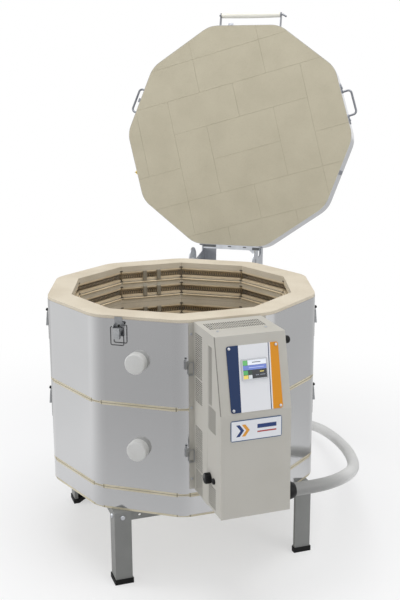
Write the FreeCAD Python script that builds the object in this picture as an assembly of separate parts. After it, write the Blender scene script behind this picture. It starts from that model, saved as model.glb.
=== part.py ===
import FreeCAD, Part
import math
import os

os.makedirs("parts", exist_ok=True)

V = FreeCAD.Vector

# Dimensions of the brickwork, in millimetres
side_count = 10
chamber_apothem = 295.0
wall_brick = 63.5
ring_height = 228.6
ring_count = 2
course_height = 114.3
floor_brick = 60.0
lid_brick = 63.5
corner_radius = 85.0
jacket_sheet = 0.8
jacket_gap = 0.2
rim_reveal = 7.4
seam_reveal = 3.0

# Element grooves, two in each course, measured down from the course top
groove_drops = (30.5, 79.5)
groove_height = 28.0
groove_depth = 27.0
holder_wall = 4.0
holder_play = 0.4
holder_end_gap = 2.5
element_radius = 6.0
element_set_back = 13.0
element_play = 0.3
element_end_margin = 2.0
element_bend = 30.0
lead_radius = 3.5
lead_spread = 24.0
bush_radius = 7.5
bush_play = 0.05
bush_stand_out = 12.0
lead_stand_out = 40.0
terminal_width = 12.0
terminal_length = 12.0
clip_width = 7.0
clip_spacing = 44.0

# Peephole plugs
peephole_facet = 0.0
plug_root_radius = 17.0
plug_tip_radius = 14.0
plug_play = 0.3
plug_knob_radius = 26.5
plug_knob_depth = 22.0
plug_seat_gap = 0.1
plug_knob_round = 4.0

# Stand
stand_turn = 36.0
stand_half_side = 277.0
leg_height = 202.8
leg_flange = 45.0
leg_sheet = 3.0
leg_lip = 11.0
rail_depth = 26.0
rail_flange = 30.0
cap_wall = 2.5
cap_height = 14.0
cap_base = 3.0
stand_bolt_inset = 22.0
stand_bolt_drop = 15.0
bolt_radius = 4.0
bolt_head_radius = 6.6
bolt_head_height = 3.6
nut_width = 13.0
nut_height = 6.0
rail_hole_radius = 3.5
rail_hole_inset = 68.0
floor_groove_width = 3.5
floor_groove_depth = 1.5
floor_groove_margin = 0.5

# Control box, on the facet 36 degrees to the right of the front
box_turn = 36.0
box_half_width = 88.0
box_flange = 13.0
box_sheet = 1.2
box_depth = 98.0
box_top_drop = 5.0
box_height = 437.0
box_seam = 0.6
cover_bottom_rise = 4.0
cover_top_depth = 146.0
cover_crease_depth = 189.0
cover_crease_drop = 182.0
cover_foot_depth = 192.0
vent_height = 2.4
vent_pitch = 5.0
rear_vent_start = 11.0
rear_vent_end = 62.0
rear_vents = ((30, 81), (86, 136), (142, 200), (268, 318), (323, 375), (381, 443))
cover_vent_start = 106.0
cover_vents = ((131, 34, 108), (131, 115, 175), (156, 183, 239))
cover_low_vent = (155, 380, 430)
top_slot_width = 2.4
top_slot_pitch = 5.5
top_slot_length = 16.0
top_slot_rows = (29.0, 48.0, 67.0)
top_slot_start = -74.0
top_slot_count = 26

# Control panel fittings
plate_width = 129.0
plate_height = 154.5
plate_sheet = 1.5
plate_offset = 2.5
plate_rise = 4.0
plate_corner = 6.0
screen_width = 65.0
screen_height = 50.0
screen_depth = 3.0
screen_rise = 76.0
badge_width = 128.0
badge_height = 51.0
badge_drop = 196.0
badge_sheet = 1.2
knob_radius = 13.5
knob_depth = 15.0
knob_out = 116.0
knob_drop = 362.0
shaft_radius = 3.0
shaft_play = 0.06
fuse_radius = 7.5
fuse_out = 145.0
fuse_drop = 359.0
button_radius = 8.0
button_out = 125.0
button_drop = 33.0

# Catches that hold the box's left flange
catch_drops = (98.0, 326.0)
catch_offset = 8.5
catch_wire = 1.1
catch_loop_width = 14.0
catch_loop_height = 36.0

# Supply cord and its grip
cord_radius = 16.5
grip_out = 142.0
grip_drop = 414.0
grip_radius = 22.0
grip_length = 33.0

# Lid
lid_play = 0.4
lid_overhang = 1.0
lid_open_angle = 104.8
hinge_set_back = 81.7
hinge_drop = 46.3
hinge_rod_radius = 5.0
hinge_play = 0.08
hinge_sheet = 3.0
ear_half_spread = 102.5
ear_lobe_radius = 37.0
arm_gap = 2.0
hinge_arm_set_forward = 26.0
hinge_arm_rise = 6.5
hinge_left_inset = 14.0
bracket_drop = 150.0
bracket_top_drop = 26.0
bracket_toe_drop = 74.0
bracket_toe_reach = 26.0
ear_rise = 20.0
ear_slot_length = 34.0

# Lid handles
grip_bar_radius = 10.0
grip_bar_length = 198.0
grip_bar_shift = 12.5
grip_bar_stand = 42.0
grip_rod_radius = 3.0
grip_rod_play = 0.08
side_handle_facets = (-72.0, 72.0)
handle_bar_radius = 3.4
handle_half_length = 40.0
handle_reach = 28.0
handle_bend = 11.0
handle_foot = 24.0
handle_foot_sheet = 3.0

# Wire latches
bail_wire = 1.25
latch_pin_radius = 1.5
latch_play = 0.05
latch_stand = 11.0
latch_sheet = 1.5
latch_bail_rise = 5.0
latch_tip_radius = 3.4

# Derived sizes
half_turn = math.pi / side_count
facet_step = 360.0 / side_count
outer_apothem = chamber_apothem + wall_brick
skin = outer_apothem + jacket_gap + jacket_sheet
rim = ring_height * ring_count
brick_corner = corner_radius - jacket_gap - jacket_sheet
stand_top = -floor_brick
lid_apothem = outer_apothem + lid_overhang
lid_skin = lid_apothem + jacket_gap + jacket_sheet
lid_under = rim + lid_play
hinge_y = skin + hinge_set_back
hinge_z = rim - hinge_drop
box_top = rim - box_top_drop
box_bottom = box_top - box_height
cover_bottom = box_bottom + cover_bottom_rise
cover_crease = rim - cover_crease_drop
panel_lean = math.degrees(math.atan2(cover_crease_depth - cover_top_depth,
                                     cover_crease_drop - box_top_drop))


def save(name, solids):
    """Write one named piece, one solid or a group of solids."""
    group = list(solids) if isinstance(solids, (list, tuple)) else [solids]
    shape = group[0] if len(group) == 1 else Part.makeCompound(group)
    shape.exportStep("parts/" + name + ".step")


def turned(shape, angle):
    """Copy of a shape turned about the kiln's upright axis."""
    copy = shape.copy()
    copy.rotate(V(0, 0, 0), V(0, 0, 1), angle)
    return copy


def opened(shape):
    """Copy of a lid piece, drawn closed, swung up to its open rest."""
    copy = shape.copy()
    copy.rotate(V(0, hinge_y, hinge_z), V(1, 0, 0), -lid_open_angle)
    return copy


def block(x0, x1, y0, y1, z0, z1):
    return Part.makeBox(x1 - x0, y1 - y0, z1 - z0, V(x0, y0, z0))


def rod_x(radius, x0, x1, y, z):
    return Part.makeCylinder(radius, x1 - x0, V(x0, y, z), V(1, 0, 0))


def rod_y(radius, y0, y1, x, z):
    return Part.makeCylinder(radius, y1 - y0, V(x, y0, z), V(0, 1, 0))


def side_profile(points, x0, x1):
    """Extrude a closed outline of (y, z) points from x0 to x1."""
    outline = Part.makePolygon([V(x0, y, z) for y, z in points + points[:1]])
    return Part.Face(outline).extrude(V(x1 - x0, 0, 0))


def flat_profile(points, z0, z1):
    """Extrude a closed outline of (x, y) points from z0 to z1."""
    outline = Part.makePolygon([V(x, y, z0) for x, y in points + points[:1]])
    return Part.Face(outline).extrude(V(0, 0, z1 - z0))


def upright_plate(width, height, sheet, corner, x, z):
    """Plate with rounded corners, back face at y = 0, front towards -Y."""
    plate = block(x - width / 2, x + width / 2, -sheet, 0, z, z + height)
    corners = [edge for edge in plate.Edges
               if abs(edge.Vertexes[0].Y - edge.Vertexes[1].Y) > sheet / 2]
    return plate.makeFillet(corner, corners)


def hexagon_y(width, y0, y1, x, z):
    """Hexagonal bar along Y, width across flats."""
    radius = width / math.sqrt(3)
    points = [V(x + radius * math.cos(math.radians(60 * k)), y0,
                z + radius * math.sin(math.radians(60 * k))) for k in range(7)]
    return Part.Face(Part.makePolygon(points)).extrude(V(0, y1 - y0, 0))


def decagon_plate(apothem, radius, z0, z1):
    """Ten-sided slab whose upright corners are rounded to a radius."""
    edges = []
    flat = (apothem - radius) * math.tan(half_turn)
    for k in range(side_count):
        normal = math.radians(-90 + facet_step * k)
        out = V(math.cos(normal), math.sin(normal), 0)
        along = V(-math.sin(normal), math.cos(normal), 0)
        start = out * apothem - along * flat + V(0, 0, z0)
        end = out * apothem + along * flat + V(0, 0, z0)
        edges.append(Part.LineSegment(start, end).toShape())
        centre = out * (apothem - radius) + along * flat + V(0, 0, z0)
        middle = centre + (out * math.cos(half_turn) + along * math.sin(half_turn)) * radius
        next_out = out * math.cos(2 * half_turn) + along * math.sin(2 * half_turn)
        edges.append(Part.Arc(end, middle, centre + next_out * radius).toShape())
    return Part.Face(Part.Wire(edges)).extrude(V(0, 0, z1 - z0))


def decagon_band(apothem, z0, z1):
    """Sheet jacket with rounded corners, its outer face at the apothem."""
    outer = decagon_plate(apothem, corner_radius, z0, z1)
    inner = decagon_plate(apothem - jacket_sheet, corner_radius - jacket_sheet, z0 - 1, z1 + 1)
    return outer.cut(inner)


# Brickwork

def groove_heights(ring):
    """Heights of the element grooves in one ring, from the top down."""
    top = ring_height * (ring + 1)
    courses = int(round(ring_height / course_height))
    return [top - course_height * course - drop
            for course in range(courses) for drop in groove_drops]


def peephole_height(ring):
    """Peepholes sit on the joint between a ring's two courses."""
    return ring_height * (ring + 1) - course_height


def plug_radius_at(y, play):
    """Radius of the tapered peephole plug at a place y along its axis."""
    share = (y + skin) / wall_brick
    return plug_root_radius + (plug_tip_radius - plug_root_radius) * share + play


def peephole_bore(height):
    start = -skin - 1
    end = -chamber_apothem + 1
    return Part.makeCone(plug_radius_at(start, plug_play), plug_radius_at(end, plug_play),
                         end - start, V(0, start, height), V(0, 1, 0))


def wall_segment(ring):
    """One facet of a brick ring, mitred at both ends, drawn at the front."""
    z0 = ring_height * ring
    inner_half = chamber_apothem * math.tan(half_turn)
    flat = (outer_apothem - brick_corner) * math.tan(half_turn)
    centre_y = -(outer_apothem - brick_corner)
    mitre = V(flat + brick_corner * math.sin(half_turn),
              centre_y - brick_corner * math.cos(half_turn), z0)
    bend = V(flat + brick_corner * math.sin(half_turn / 2),
             centre_y - brick_corner * math.cos(half_turn / 2), z0)
    mirror = lambda point: V(-point.x, point.y, point.z)
    tangent = V(flat, -outer_apothem, z0)
    inner = V(inner_half, -chamber_apothem, z0)
    edges = [Part.LineSegment(mirror(inner), inner).toShape(),
             Part.LineSegment(inner, mitre).toShape(),
             Part.Arc(mitre, bend, tangent).toShape(),
             Part.LineSegment(tangent, mirror(tangent)).toShape(),
             Part.Arc(mirror(tangent), mirror(bend), mirror(mitre)).toShape(),
             Part.LineSegment(mirror(mitre), mirror(inner)).toShape()]
    segment = Part.Face(Part.Wire(edges)).extrude(V(0, 0, ring_height))
    reach = outer_apothem
    for height in groove_heights(ring):
        segment = segment.cut(block(-reach, reach, -chamber_apothem - groove_depth,
                                    -chamber_apothem + 1,
                                    height - groove_height / 2, height + groove_height / 2))
    return segment


def lead_holes(ring):
    """Holes through the wall for the element leads, drawn at the front."""
    return [rod_y(bush_radius + bush_play, -skin - 1, -chamber_apothem - groove_depth + 1,
                  side * lead_spread, element_height(height))
            for height in groove_heights(ring) for side in (-1, 1)]


def brick_ring(ring):
    segments = []
    plain = wall_segment(ring)
    for k in range(side_count):
        angle = facet_step * k
        piece = plain
        if angle == peephole_facet:
            piece = plain.cut(peephole_bore(peephole_height(ring)))
        if abs(angle - box_turn) < 0.5:
            piece = plain.cut(Part.makeCompound(lead_holes(ring)))
        segments.append(turned(piece, angle))
    return segments


def element_height(groove):
    """Elements lie on the floor of their channel."""
    channel = groove_height / 2 - holder_play - holder_wall
    return groove - channel + element_radius + element_play


def holder(height):
    """Open ceramic channel that holds one element along one facet."""
    half = groove_height / 2 - holder_play
    back = -chamber_apothem - groove_depth + holder_play
    front = -chamber_apothem
    wall = holder_wall
    points = [(front, height - half), (back, height - half), (back, height + half),
              (front, height + half), (front, height + half - wall),
              (back + wall, height + half - wall), (back + wall, height - half + wall),
              (front, height - half + wall)]
    half_length = chamber_apothem * math.tan(half_turn) - holder_end_gap
    return side_profile(points, -half_length, half_length)


def holder_ring(ring):
    holders = []
    for height in groove_heights(ring):
        plain = holder(height)
        for k in range(side_count):
            piece = plain
            if abs(facet_step * k - box_turn) < 0.5:
                for side in (-1, 1):
                    piece = piece.cut(rod_y(lead_radius + 1, -skin, -chamber_apothem,
                                            side * lead_spread, element_height(height)))
            holders.append(turned(piece, facet_step * k))
    return holders


def element(height):
    """Heating element: an open loop along the facets with two straight leads."""
    apothem = chamber_apothem + element_set_back
    run = apothem * math.tan(half_turn) - element_bend * math.tan(half_turn)
    z = element_height(height)
    end = lead_spread - lead_radius - element_end_margin
    start = V(end, -apothem, z)
    edges = []
    here = start
    for k in range(side_count):
        turn = FreeCAD.Rotation(V(0, 0, 1), facet_step * k)
        half = FreeCAD.Rotation(V(0, 0, 1), facet_step * (k + 0.5))
        first = turn.multVec(V(run, -apothem, z))
        middle_reach = (apothem - element_bend) / math.cos(half_turn) + element_bend
        middle = half.multVec(V(0, -middle_reach, z))
        last = FreeCAD.Rotation(V(0, 0, 1), facet_step * (k + 1)).multVec(V(-run, -apothem, z))
        edges.append(Part.LineSegment(here, first).toShape())
        edges.append(Part.Arc(first, middle, last).toShape())
        here = last
    edges.append(Part.LineSegment(here, V(-end, -apothem, z)).toShape())
    section = Part.Wire(Part.Circle(start, V(1, 0, 0), element_radius).toShape())
    loop = Part.Wire(edges).makePipeShell([section], True, True)
    leads = [rod_y(lead_radius, -skin - lead_stand_out, -apothem, side * lead_spread, z)
             for side in (-1, 1)]
    return turned(loop.fuse(leads).removeSplitter(), box_turn)


def lead_bush(height, side):
    """Ceramic tube that carries a lead through the wall."""
    start = -skin - bush_stand_out
    end = -chamber_apothem - groove_depth
    x = side * lead_spread
    z = element_height(height)
    tube = rod_y(bush_radius, start, end, x, z)
    return turned(tube.cut(rod_y(lead_radius + bush_play, start - 1, end + 1, x, z)), box_turn)


def lead_terminal(height, side):
    """Clamping sleeve on the end of a lead, inside the box."""
    start = -skin - lead_stand_out
    x = side * lead_spread
    z = element_height(height)
    sleeve = hexagon_y(terminal_width, start, start + terminal_length, x, z)
    bore = rod_y(lead_radius + bush_play, start - 1, start + terminal_length + 1, x, z)
    return turned(sleeve.cut(bore), box_turn)


def groove_clips():
    """Ceramic stops across the grooves of the facet opposite the box."""
    clips = []
    for ring in range(ring_count):
        for height in groove_heights(ring):
            for side in (-1, 1):
                x = side * clip_spacing / 2
                half = groove_height / 2
                clips.append(turned(block(x - clip_width / 2, x + clip_width / 2,
                                          -chamber_apothem, -chamber_apothem + 4,
                                          height - half, height + half), box_turn + 180))
    return clips


def ring_jacket(ring):
    """Stainless sheet round one ring, with a peephole and the lead window."""
    z0 = ring_height * ring + seam_reveal
    z1 = ring_height * (ring + 1) - seam_reveal
    if ring == ring_count - 1:
        z1 = rim - rim_reveal
    jacket = decagon_band(skin, z0, z1)
    hole = rod_y(plug_radius_at(-skin, plug_play), -skin - 5, -outer_apothem + 5,
                 0, peephole_height(ring))
    window = turned(block(-lead_spread - 16, lead_spread + 16, -skin - 5, -outer_apothem + 5,
                          z0 + 12, z1 - 12), box_turn)
    return jacket.cut(turned(hole, peephole_facet)).cut(window)


def peephole_plug(height):
    """Tapered ceramic plug with a round knob."""
    end = -chamber_apothem + 4
    points = [V(0, end, 0), V(plug_radius_at(end, 0), end, 0),
              V(plug_radius_at(-skin, 0), -skin, 0)]
    face = -skin - plug_seat_gap
    points += [V(plug_radius_at(-skin, 0), face, 0), V(plug_knob_radius, face, 0),
               V(plug_knob_radius, face - plug_knob_depth, 0), V(0, face - plug_knob_depth, 0)]
    outline = Part.makePolygon(points + points[:1])
    body = Part.Face(outline).revolve(V(0, 0, 0), V(0, 1, 0), 360)
    front = [edge for edge in body.Edges
             if abs(edge.BoundBox.YMin - (face - plug_knob_depth)) < 0.01
             and abs(edge.BoundBox.YMax - (face - plug_knob_depth)) < 0.01
             and edge.BoundBox.XLength > plug_knob_radius]
    body = body.makeFillet(plug_knob_round, front)
    body.translate(V(0, 0, height))
    return body


# Stand, drawn square to the front and turned in one piece

def leg():
    """Folded angle leg with a return lip on each flange."""
    h = stand_half_side
    f = leg_flange
    t = leg_sheet
    lip = leg_lip
    points = [(-h, -h), (-h + f, -h), (-h + f, -h + lip), (-h + f - t, -h + lip),
              (-h + f - t, -h + t), (-h + t, -h + t), (-h + t, -h + f - t),
              (-h + lip, -h + f - t), (-h + lip, -h + f), (-h, -h + f)]
    folded = flat_profile(points, stand_top - leg_height + cap_base, stand_top)
    beside_rails = block(-h + t, -h + f + 1, -h + t, -h + f + 1,
                         stand_top - rail_depth - 1, stand_top + 1)
    return folded.cut(beside_rails)


def foot_cap():
    """Rubber shoe that follows the outline of the leg's foot."""
    h = stand_half_side
    w = cap_wall
    f = leg_flange
    t = leg_sheet + 0.1
    floor = stand_top - leg_height
    outer = [(-h - w, -h - w), (-h + f + w, -h - w), (-h + f + w, -h + leg_lip + w),
             (-h + leg_lip + w, -h + f + w), (-h - w, -h + f + w)]
    shoe = flat_profile(outer, floor, floor + cap_height)
    slot = [(-h - 0.1, -h - 0.1), (-h + f + 0.1, -h - 0.1), (-h + f + 0.1, -h + leg_lip + 0.1),
            (-h + f - t, -h + leg_lip + 0.1), (-h + f - t, -h + t), (-h + t, -h + t),
            (-h + t, -h + f - t), (-h + leg_lip + 0.1, -h + f - t),
            (-h + leg_lip + 0.1, -h + f + 0.1), (-h - 0.1, -h + f + 0.1)]
    return shoe.cut(flat_profile(slot, floor + cap_base, floor + cap_height + 1))


def rail():
    """Top rail along one side: an upright web with an inward top flange."""
    outer = stand_half_side - leg_sheet
    t = leg_sheet
    points = [(-outer, stand_top - rail_depth), (-outer, stand_top),
              (-outer + rail_flange, stand_top), (-outer + rail_flange, stand_top - t),
              (-outer + t, stand_top - t), (-outer + t, stand_top - rail_depth)]
    bar = side_profile(points, -outer, outer)
    keep = flat_profile([(-outer - 1, -outer - 1), (outer + 1, -outer - 1), (0, 0)],
                        stand_top - rail_depth - 1, stand_top + 1)
    bolt = stand_half_side - stand_bolt_inset
    z = stand_top - stand_bolt_drop
    bar = bar.common(keep)
    for side in (-1, 1):
        bar = bar.cut(rod_y(bolt_radius + 0.2, -outer - 1, -outer + t + 1, side * bolt, z))
        spare = side * (stand_half_side - rail_hole_inset)
        bar = bar.cut(rod_y(rail_hole_radius, -outer - 1, -outer + t + 1, spare, z))
    return bar


def stand_bolt(side):
    """Round-headed bolt through a leg flange and the rail behind it, with its nut."""
    x = side * (stand_half_side - stand_bolt_inset)
    z = stand_top - stand_bolt_drop
    face = -stand_half_side
    inner = face + 2 * leg_sheet
    shank = rod_y(bolt_radius, face, inner + nut_height + 2, x, z)
    head = rod_y(bolt_head_radius, face - bolt_head_height, face, x, z)
    crown = [edge for edge in head.Edges
             if edge.BoundBox.YMax < face - bolt_head_height / 2 and edge.BoundBox.XLength > 5]
    head = head.makeFillet(bolt_head_height * 0.8, crown)
    nut = hexagon_y(nut_width, inner, inner + nut_height, x, z)
    return head.fuse([shank, nut])


def four_sides(shape):
    return [turned(shape, stand_turn + 90 * k) for k in range(4)]


def drilled_leg():
    body = leg()
    inset = stand_half_side - stand_bolt_inset
    z = stand_top - stand_bolt_drop
    first = rod_y(bolt_radius + 0.2, -stand_half_side - 1, -stand_half_side + leg_sheet + 1,
                  -inset, z)
    second = turned(rod_y(bolt_radius + 0.2, -stand_half_side - 1,
                          -stand_half_side + leg_sheet + 1, inset, z), -90)
    return body.cut(first).cut(second)


# Control box, drawn on the front facet and turned

def vent_rows(x0, x1, out0, out1, z_low, z_high):
    """Horizontal slots through an upright wall, from z_low to z_high."""
    count = int((z_high - z_low) // vent_pitch) + 1
    return [block(x0, x1, -skin - out1, -skin - out0, z_low + vent_pitch * k,
                  z_low + vent_pitch * k + vent_height) for k in range(count)]


def vent_block(side, out0, out1, high, low):
    """Field of slots in one side wall, between two drops below the rim."""
    x0 = side * box_half_width - 3
    return vent_rows(x0, x0 + 6, out0, out1, rim - low, rim - high)


def rear_box():
    """Open sheet tube round the element terminals, with mounting flanges."""
    w = box_half_width
    t = box_sheet
    shell = block(-w, w, -skin - box_depth, -skin, box_bottom, box_top)
    shell = shell.cut(block(-w + t, w - t, -skin - box_depth - 1, -skin + 1,
                            box_bottom + t, box_top - t))
    flanges = [block(side * w if side > 0 else -w - box_flange,
                     w + box_flange if side > 0 else -w,
                     -skin - t, -skin, box_bottom + 2, box_top - 3) for side in (-1, 1)]
    shell = shell.fuse(flanges)
    slots = []
    for side in (-1, 1):
        for high, low in rear_vents:
            slots += vent_block(side, rear_vent_start, rear_vent_end, high, low)
    for k in range(top_slot_count):
        x = top_slot_start + top_slot_pitch * k
        for out in top_slot_rows:
            slots.append(block(x, x + top_slot_width, -skin - out - top_slot_length, -skin - out,
                               box_top - 3, box_top + 3))
    return shell.cut(Part.makeCompound(slots))


def cover_profile(inset):
    """Outline of the wedge-shaped cover in (y, z), moved in by an inset."""
    lean = math.radians(panel_lean)
    low_lean = math.atan2(cover_foot_depth - cover_crease_depth, cover_crease - cover_bottom)
    back = -skin - box_depth - box_seam
    top = box_top - inset
    foot = cover_bottom + inset
    shift = inset / math.cos(lean)
    top_out = cover_top_depth + inset * math.tan(lean) - shift
    crease_out = cover_crease_depth - inset
    foot_out = cover_foot_depth - inset / math.cos(low_lean)
    return [(back, foot), (-skin - foot_out, foot),
            (-skin - crease_out, cover_crease - inset * math.tan(lean / 2)),
            (-skin - top_out, top), (back, top)]


def front_cover():
    """Wedge-shaped cover that carries the control panel."""
    w = box_half_width
    t = box_sheet
    shell = side_profile(cover_profile(0.0), -w, w)
    hollow = side_profile(cover_profile(t), -w + t, w - t)
    slots = []
    for side in (-1, 1):
        for out, high, low in cover_vents:
            slots += vent_block(side, cover_vent_start, out, high, low)
    out, high, low = cover_low_vent
    slots += vent_block(-1, cover_vent_start, out, high, low)
    holes = [rod_x(shaft_radius + 1, -w - 1, -w + t + 1, -skin - knob_out, rim - knob_drop),
             rod_x(fuse_radius - 1.5, -w - 1, -w + t + 1, -skin - fuse_out, rim - fuse_drop),
             rod_x(button_radius - 1.5, w - t - 1, w + 1, -skin - button_out, rim - button_drop),
             rod_x(cord_radius, w - t - 1, w + 1, -skin - grip_out, rim - grip_drop)]
    return shell.cut(hollow).cut(Part.makeCompound(slots + holes))


def on_panel(shape):
    """Move a piece drawn flat at y = 0 on to the sloping panel, base at the crease."""
    shape = shape.copy()
    shape.rotate(V(0, 0, 0), V(1, 0, 0), -panel_lean)
    shape.translate(V(0, -skin - cover_crease_depth, cover_crease))
    return shape


def on_lower_front(shape, drop):
    """Move a piece drawn flat at y = 0 on to the cover's lower front."""
    lean = math.degrees(math.atan2(cover_foot_depth - cover_crease_depth,
                                   cover_crease - cover_bottom))
    shape = shape.copy()
    shape.rotate(V(0, 0, 0), V(1, 0, 0), -lean)
    out = cover_crease_depth + (drop - cover_crease_drop) * math.tan(math.radians(lean))
    shape.translate(V(0, -skin - out, rim - drop))
    return shape


def controller_plate():
    plate = upright_plate(plate_width, plate_height, plate_sheet, plate_corner,
                          plate_offset, plate_rise)
    return on_panel(plate)


def screen():
    """Touch screen in a thin raised frame."""
    z = screen_rise
    frame = upright_plate(screen_width, screen_height, screen_depth, 3.0, plate_offset + 1, z)
    glass = upright_plate(screen_width - 6, screen_height - 6, 1.0, 1.5, plate_offset + 1, z + 3)
    glass.translate(V(0, -screen_depth + 1.0, 0))
    face = frame.cut(glass)
    face = face.fuse(block(plate_offset + 1 - screen_width / 2 + 2.9,
                           plate_offset + 1 + screen_width / 2 - 2.9,
                           -screen_depth + 0.8, -0.5, z + 2.9, z + screen_height - 2.9))
    face.translate(V(0, -plate_sheet, 0))
    return on_panel(face.removeSplitter())


def badge_plate():
    plate = upright_plate(badge_width, badge_height, badge_sheet, 5.0, 0, -badge_height)
    return on_lower_front(plate, badge_drop)


def inner_panel():
    w = box_half_width - box_sheet
    y = -skin - box_depth + 2
    return block(-w, w, y, y + box_sheet, box_bottom + box_sheet, box_top - box_sheet)


def power_relays():
    relays = []
    y = -skin - box_depth + 2
    for k in range(3):
        x = -56 + 42 * k
        body = block(x, x + 32, y - 30, y, rim - 300, rim - 245)
        relays.append(body.makeFillet(2.0, [edge for edge in body.Edges
                                            if edge.BoundBox.YMax < y - 29]))
    return relays


def transformer():
    """Laminated core with a wound bobbin."""
    y = -skin - box_depth + 2
    core = block(-62, -4, y - 42, y - 6, rim - 226, rim - 176)
    bobbin = block(-50, -16, y - 46, y, rim - 217, rim - 185)
    return core.fuse(bobbin)


def terminal_block():
    y = -skin - box_depth + 2
    body = block(5, 75, y - 26, y, rim - 380, rim - 350)
    for k in range(3):
        x = 10 + 22 * k
        body = body.cut(block(x, x + 16, y - 27, y - 12, rim - 375, rim - 355))
    return body


def power_switch():
    """Rotary switch body behind the cover with its shaft."""
    w = box_half_width
    y = -skin - knob_out
    z = rim - knob_drop
    body = block(-w + box_sheet, -w + box_sheet + 28, y - 16, y + 15, z - 16, z + 16)
    return body.fuse(rod_x(shaft_radius, -w - knob_depth + 3, -w + box_sheet + 1, y, z))


def power_knob():
    """Fluted round knob with a domed face."""
    w = box_half_width
    y = -skin - knob_out
    z = rim - knob_drop
    back = -w - 0.4
    knob = rod_x(knob_radius, back - knob_depth, back, y, z)
    outer = [edge for edge in knob.Edges
             if edge.BoundBox.XMax < back - knob_depth + 0.1 and edge.BoundBox.YLength > 5]
    knob = knob.makeFillet(5.0, outer)
    flutes = []
    for k in range(12):
        angle = math.radians(30 * k)
        reach = knob_radius + 1.2
        flutes.append(rod_x(2.2, back - knob_depth - 1, back - 3,
                            y + reach * math.cos(angle), z + reach * math.sin(angle)))
    knob = knob.cut(Part.makeCompound(flutes))
    bore = rod_x(shaft_radius + shaft_play, -w - knob_depth + 3 - 0.5, back + 1, y, z)
    return knob.cut(bore)


def side_cap(side, radius, out, drop, height):
    """Round domed cap seated in a hole in the cover's side wall."""
    w = box_half_width
    y = -skin - out
    z = rim - drop
    x0 = w if side > 0 else -w - height
    cap = rod_x(radius, x0, x0 + height, y, z)
    outer_x = w + height if side > 0 else -w - height
    rims = [edge for edge in cap.Edges
            if abs(edge.BoundBox.XMin - outer_x) < 0.1 and edge.BoundBox.YLength > 5]
    cap = cap.makeFillet(min(height, radius) * 0.6, rims)
    s0 = w - 12 if side > 0 else -w
    stem = rod_x(radius - 1.6, s0, s0 + 12, y, z)
    return cap.fuse(stem)


def cord_grip():
    """Domed grip nut that clamps the cord where it leaves the cover."""
    w = box_half_width
    y = -skin - grip_out
    z = rim - grip_drop
    r = grip_radius
    nose = cord_radius + 1.0
    path = [Part.LineSegment(V(0, 0, 0), V(0, r, 0)).toShape(),
            Part.LineSegment(V(0, r, 0), V(12, r, 0)).toShape(),
            Part.Arc(V(12, r, 0), V(12 + (grip_length - 12) * 0.72, nose + (r - nose) * 0.62, 0),
                     V(grip_length, nose, 0)).toShape(),
            Part.LineSegment(V(grip_length, nose, 0), V(grip_length, 0, 0)).toShape(),
            Part.LineSegment(V(grip_length, 0, 0), V(0, 0, 0)).toShape()]
    grip = Part.Face(Part.Wire(path)).revolve(V(0, 0, 0), V(1, 0, 0), 360)
    grip.translate(V(w, y, z))
    stem = rod_x(cord_radius - 0.1, w - 16, w, y, z)
    return grip.fuse(stem)


def box_screws():
    """Pan-head screws of the mounting flanges and of the cover's top."""
    screws = []
    for side in (-1, 1):
        x = side * (box_half_width + box_flange / 2)
        for z in (box_bottom + 30, (box_bottom + box_top) / 2, box_top - 30):
            screws.append(rod_y(3.5, -skin - box_sheet - 2.4, -skin - box_sheet, x, z))
    for x, out in ((-64, 104), (57, 104)):
        screws.append(Part.makeCylinder(3.5, 2.4, V(x, -skin - out, box_top), V(0, 0, 1)))
    return screws


def box_catch(drop):
    """Catch beside the box: base on the jacket, thumb lever and wire loop over the flange."""
    x = -box_half_width - box_flange - catch_offset
    top = rim - drop
    face = -skin - box_sheet
    y = face - 3.2
    base = block(x - 3, x + 3, y - 2, -skin + 8, top - 24, top - 4)
    base = base.cut(decagon_plate(skin + 0.1, corner_radius + 0.1, top - 40, top + 10))
    lever = side_profile([(y - 1, top - 8), (y - 7, top), (y - 9, top - 1.5), (y - 4, top - 22),
                          (y - 1, top - 22)], x - 2.4, x + 2.4)
    tip = rod_x(3.0, x - 3.6, x + 3.6, y - 8, top - 1)
    right = -box_half_width - catch_wire - 0.5
    left = right - catch_loop_width
    low = top - 5 - catch_loop_height
    r = 3.0
    c = r * (1 - math.sqrt(0.5))
    edges = [Part.LineSegment(V(x + 1, y, top - 8), V(right - r, y, top - 8)).toShape(),
             Part.Arc(V(right - r, y, top - 8), V(right - c, y, top - 8 - c),
                      V(right, y, top - 8 - r)).toShape(),
             Part.LineSegment(V(right, y, top - 8 - r), V(right, y, low + r)).toShape(),
             Part.Arc(V(right, y, low + r), V(right - c, y, low + c),
                      V(right - r, y, low)).toShape(),
             Part.LineSegment(V(right - r, y, low), V(left + r, y, low)).toShape(),
             Part.Arc(V(left + r, y, low), V(left + c, y, low + c), V(left, y, low + r)).toShape(),
             Part.LineSegment(V(left, y, low + r), V(left, y, top - 12)).toShape()]
    section = Part.Wire(Part.Circle(V(x + 1, y, top - 8), V(1, 0, 0), catch_wire).toShape())
    loop = Part.Wire(edges).makePipeShell([section], True, True)
    middle = (left + right) / 2
    keeper = block(middle - 3, middle + 3, y - catch_wire, face, low + catch_wire + 0.05,
                   low + catch_wire + 2.5)
    return [base.fuse([lever, tip, loop]), keeper]


# Supply cord: chosen points of its route, from the grip to the plug

def cord_route():
    w = box_half_width + grip_length
    start = turned(Part.Vertex(V(w, -skin - grip_out, rim - grip_drop)), box_turn).Point
    return [start, V(446, -295, 42), V(482, -238, 36), V(496, -160, 18), V(497, -66, -10),
            V(488, 50, -45), V(464, 190, -82), V(428, 332, -115), V(381, 472, -147),
            V(326, 606, -177), V(262, 732, -208), V(172, 830, -236), V(62, 880, -246.3),
            V(-54, 876, -246.3), V(-152, 824, -246.3)]


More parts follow.
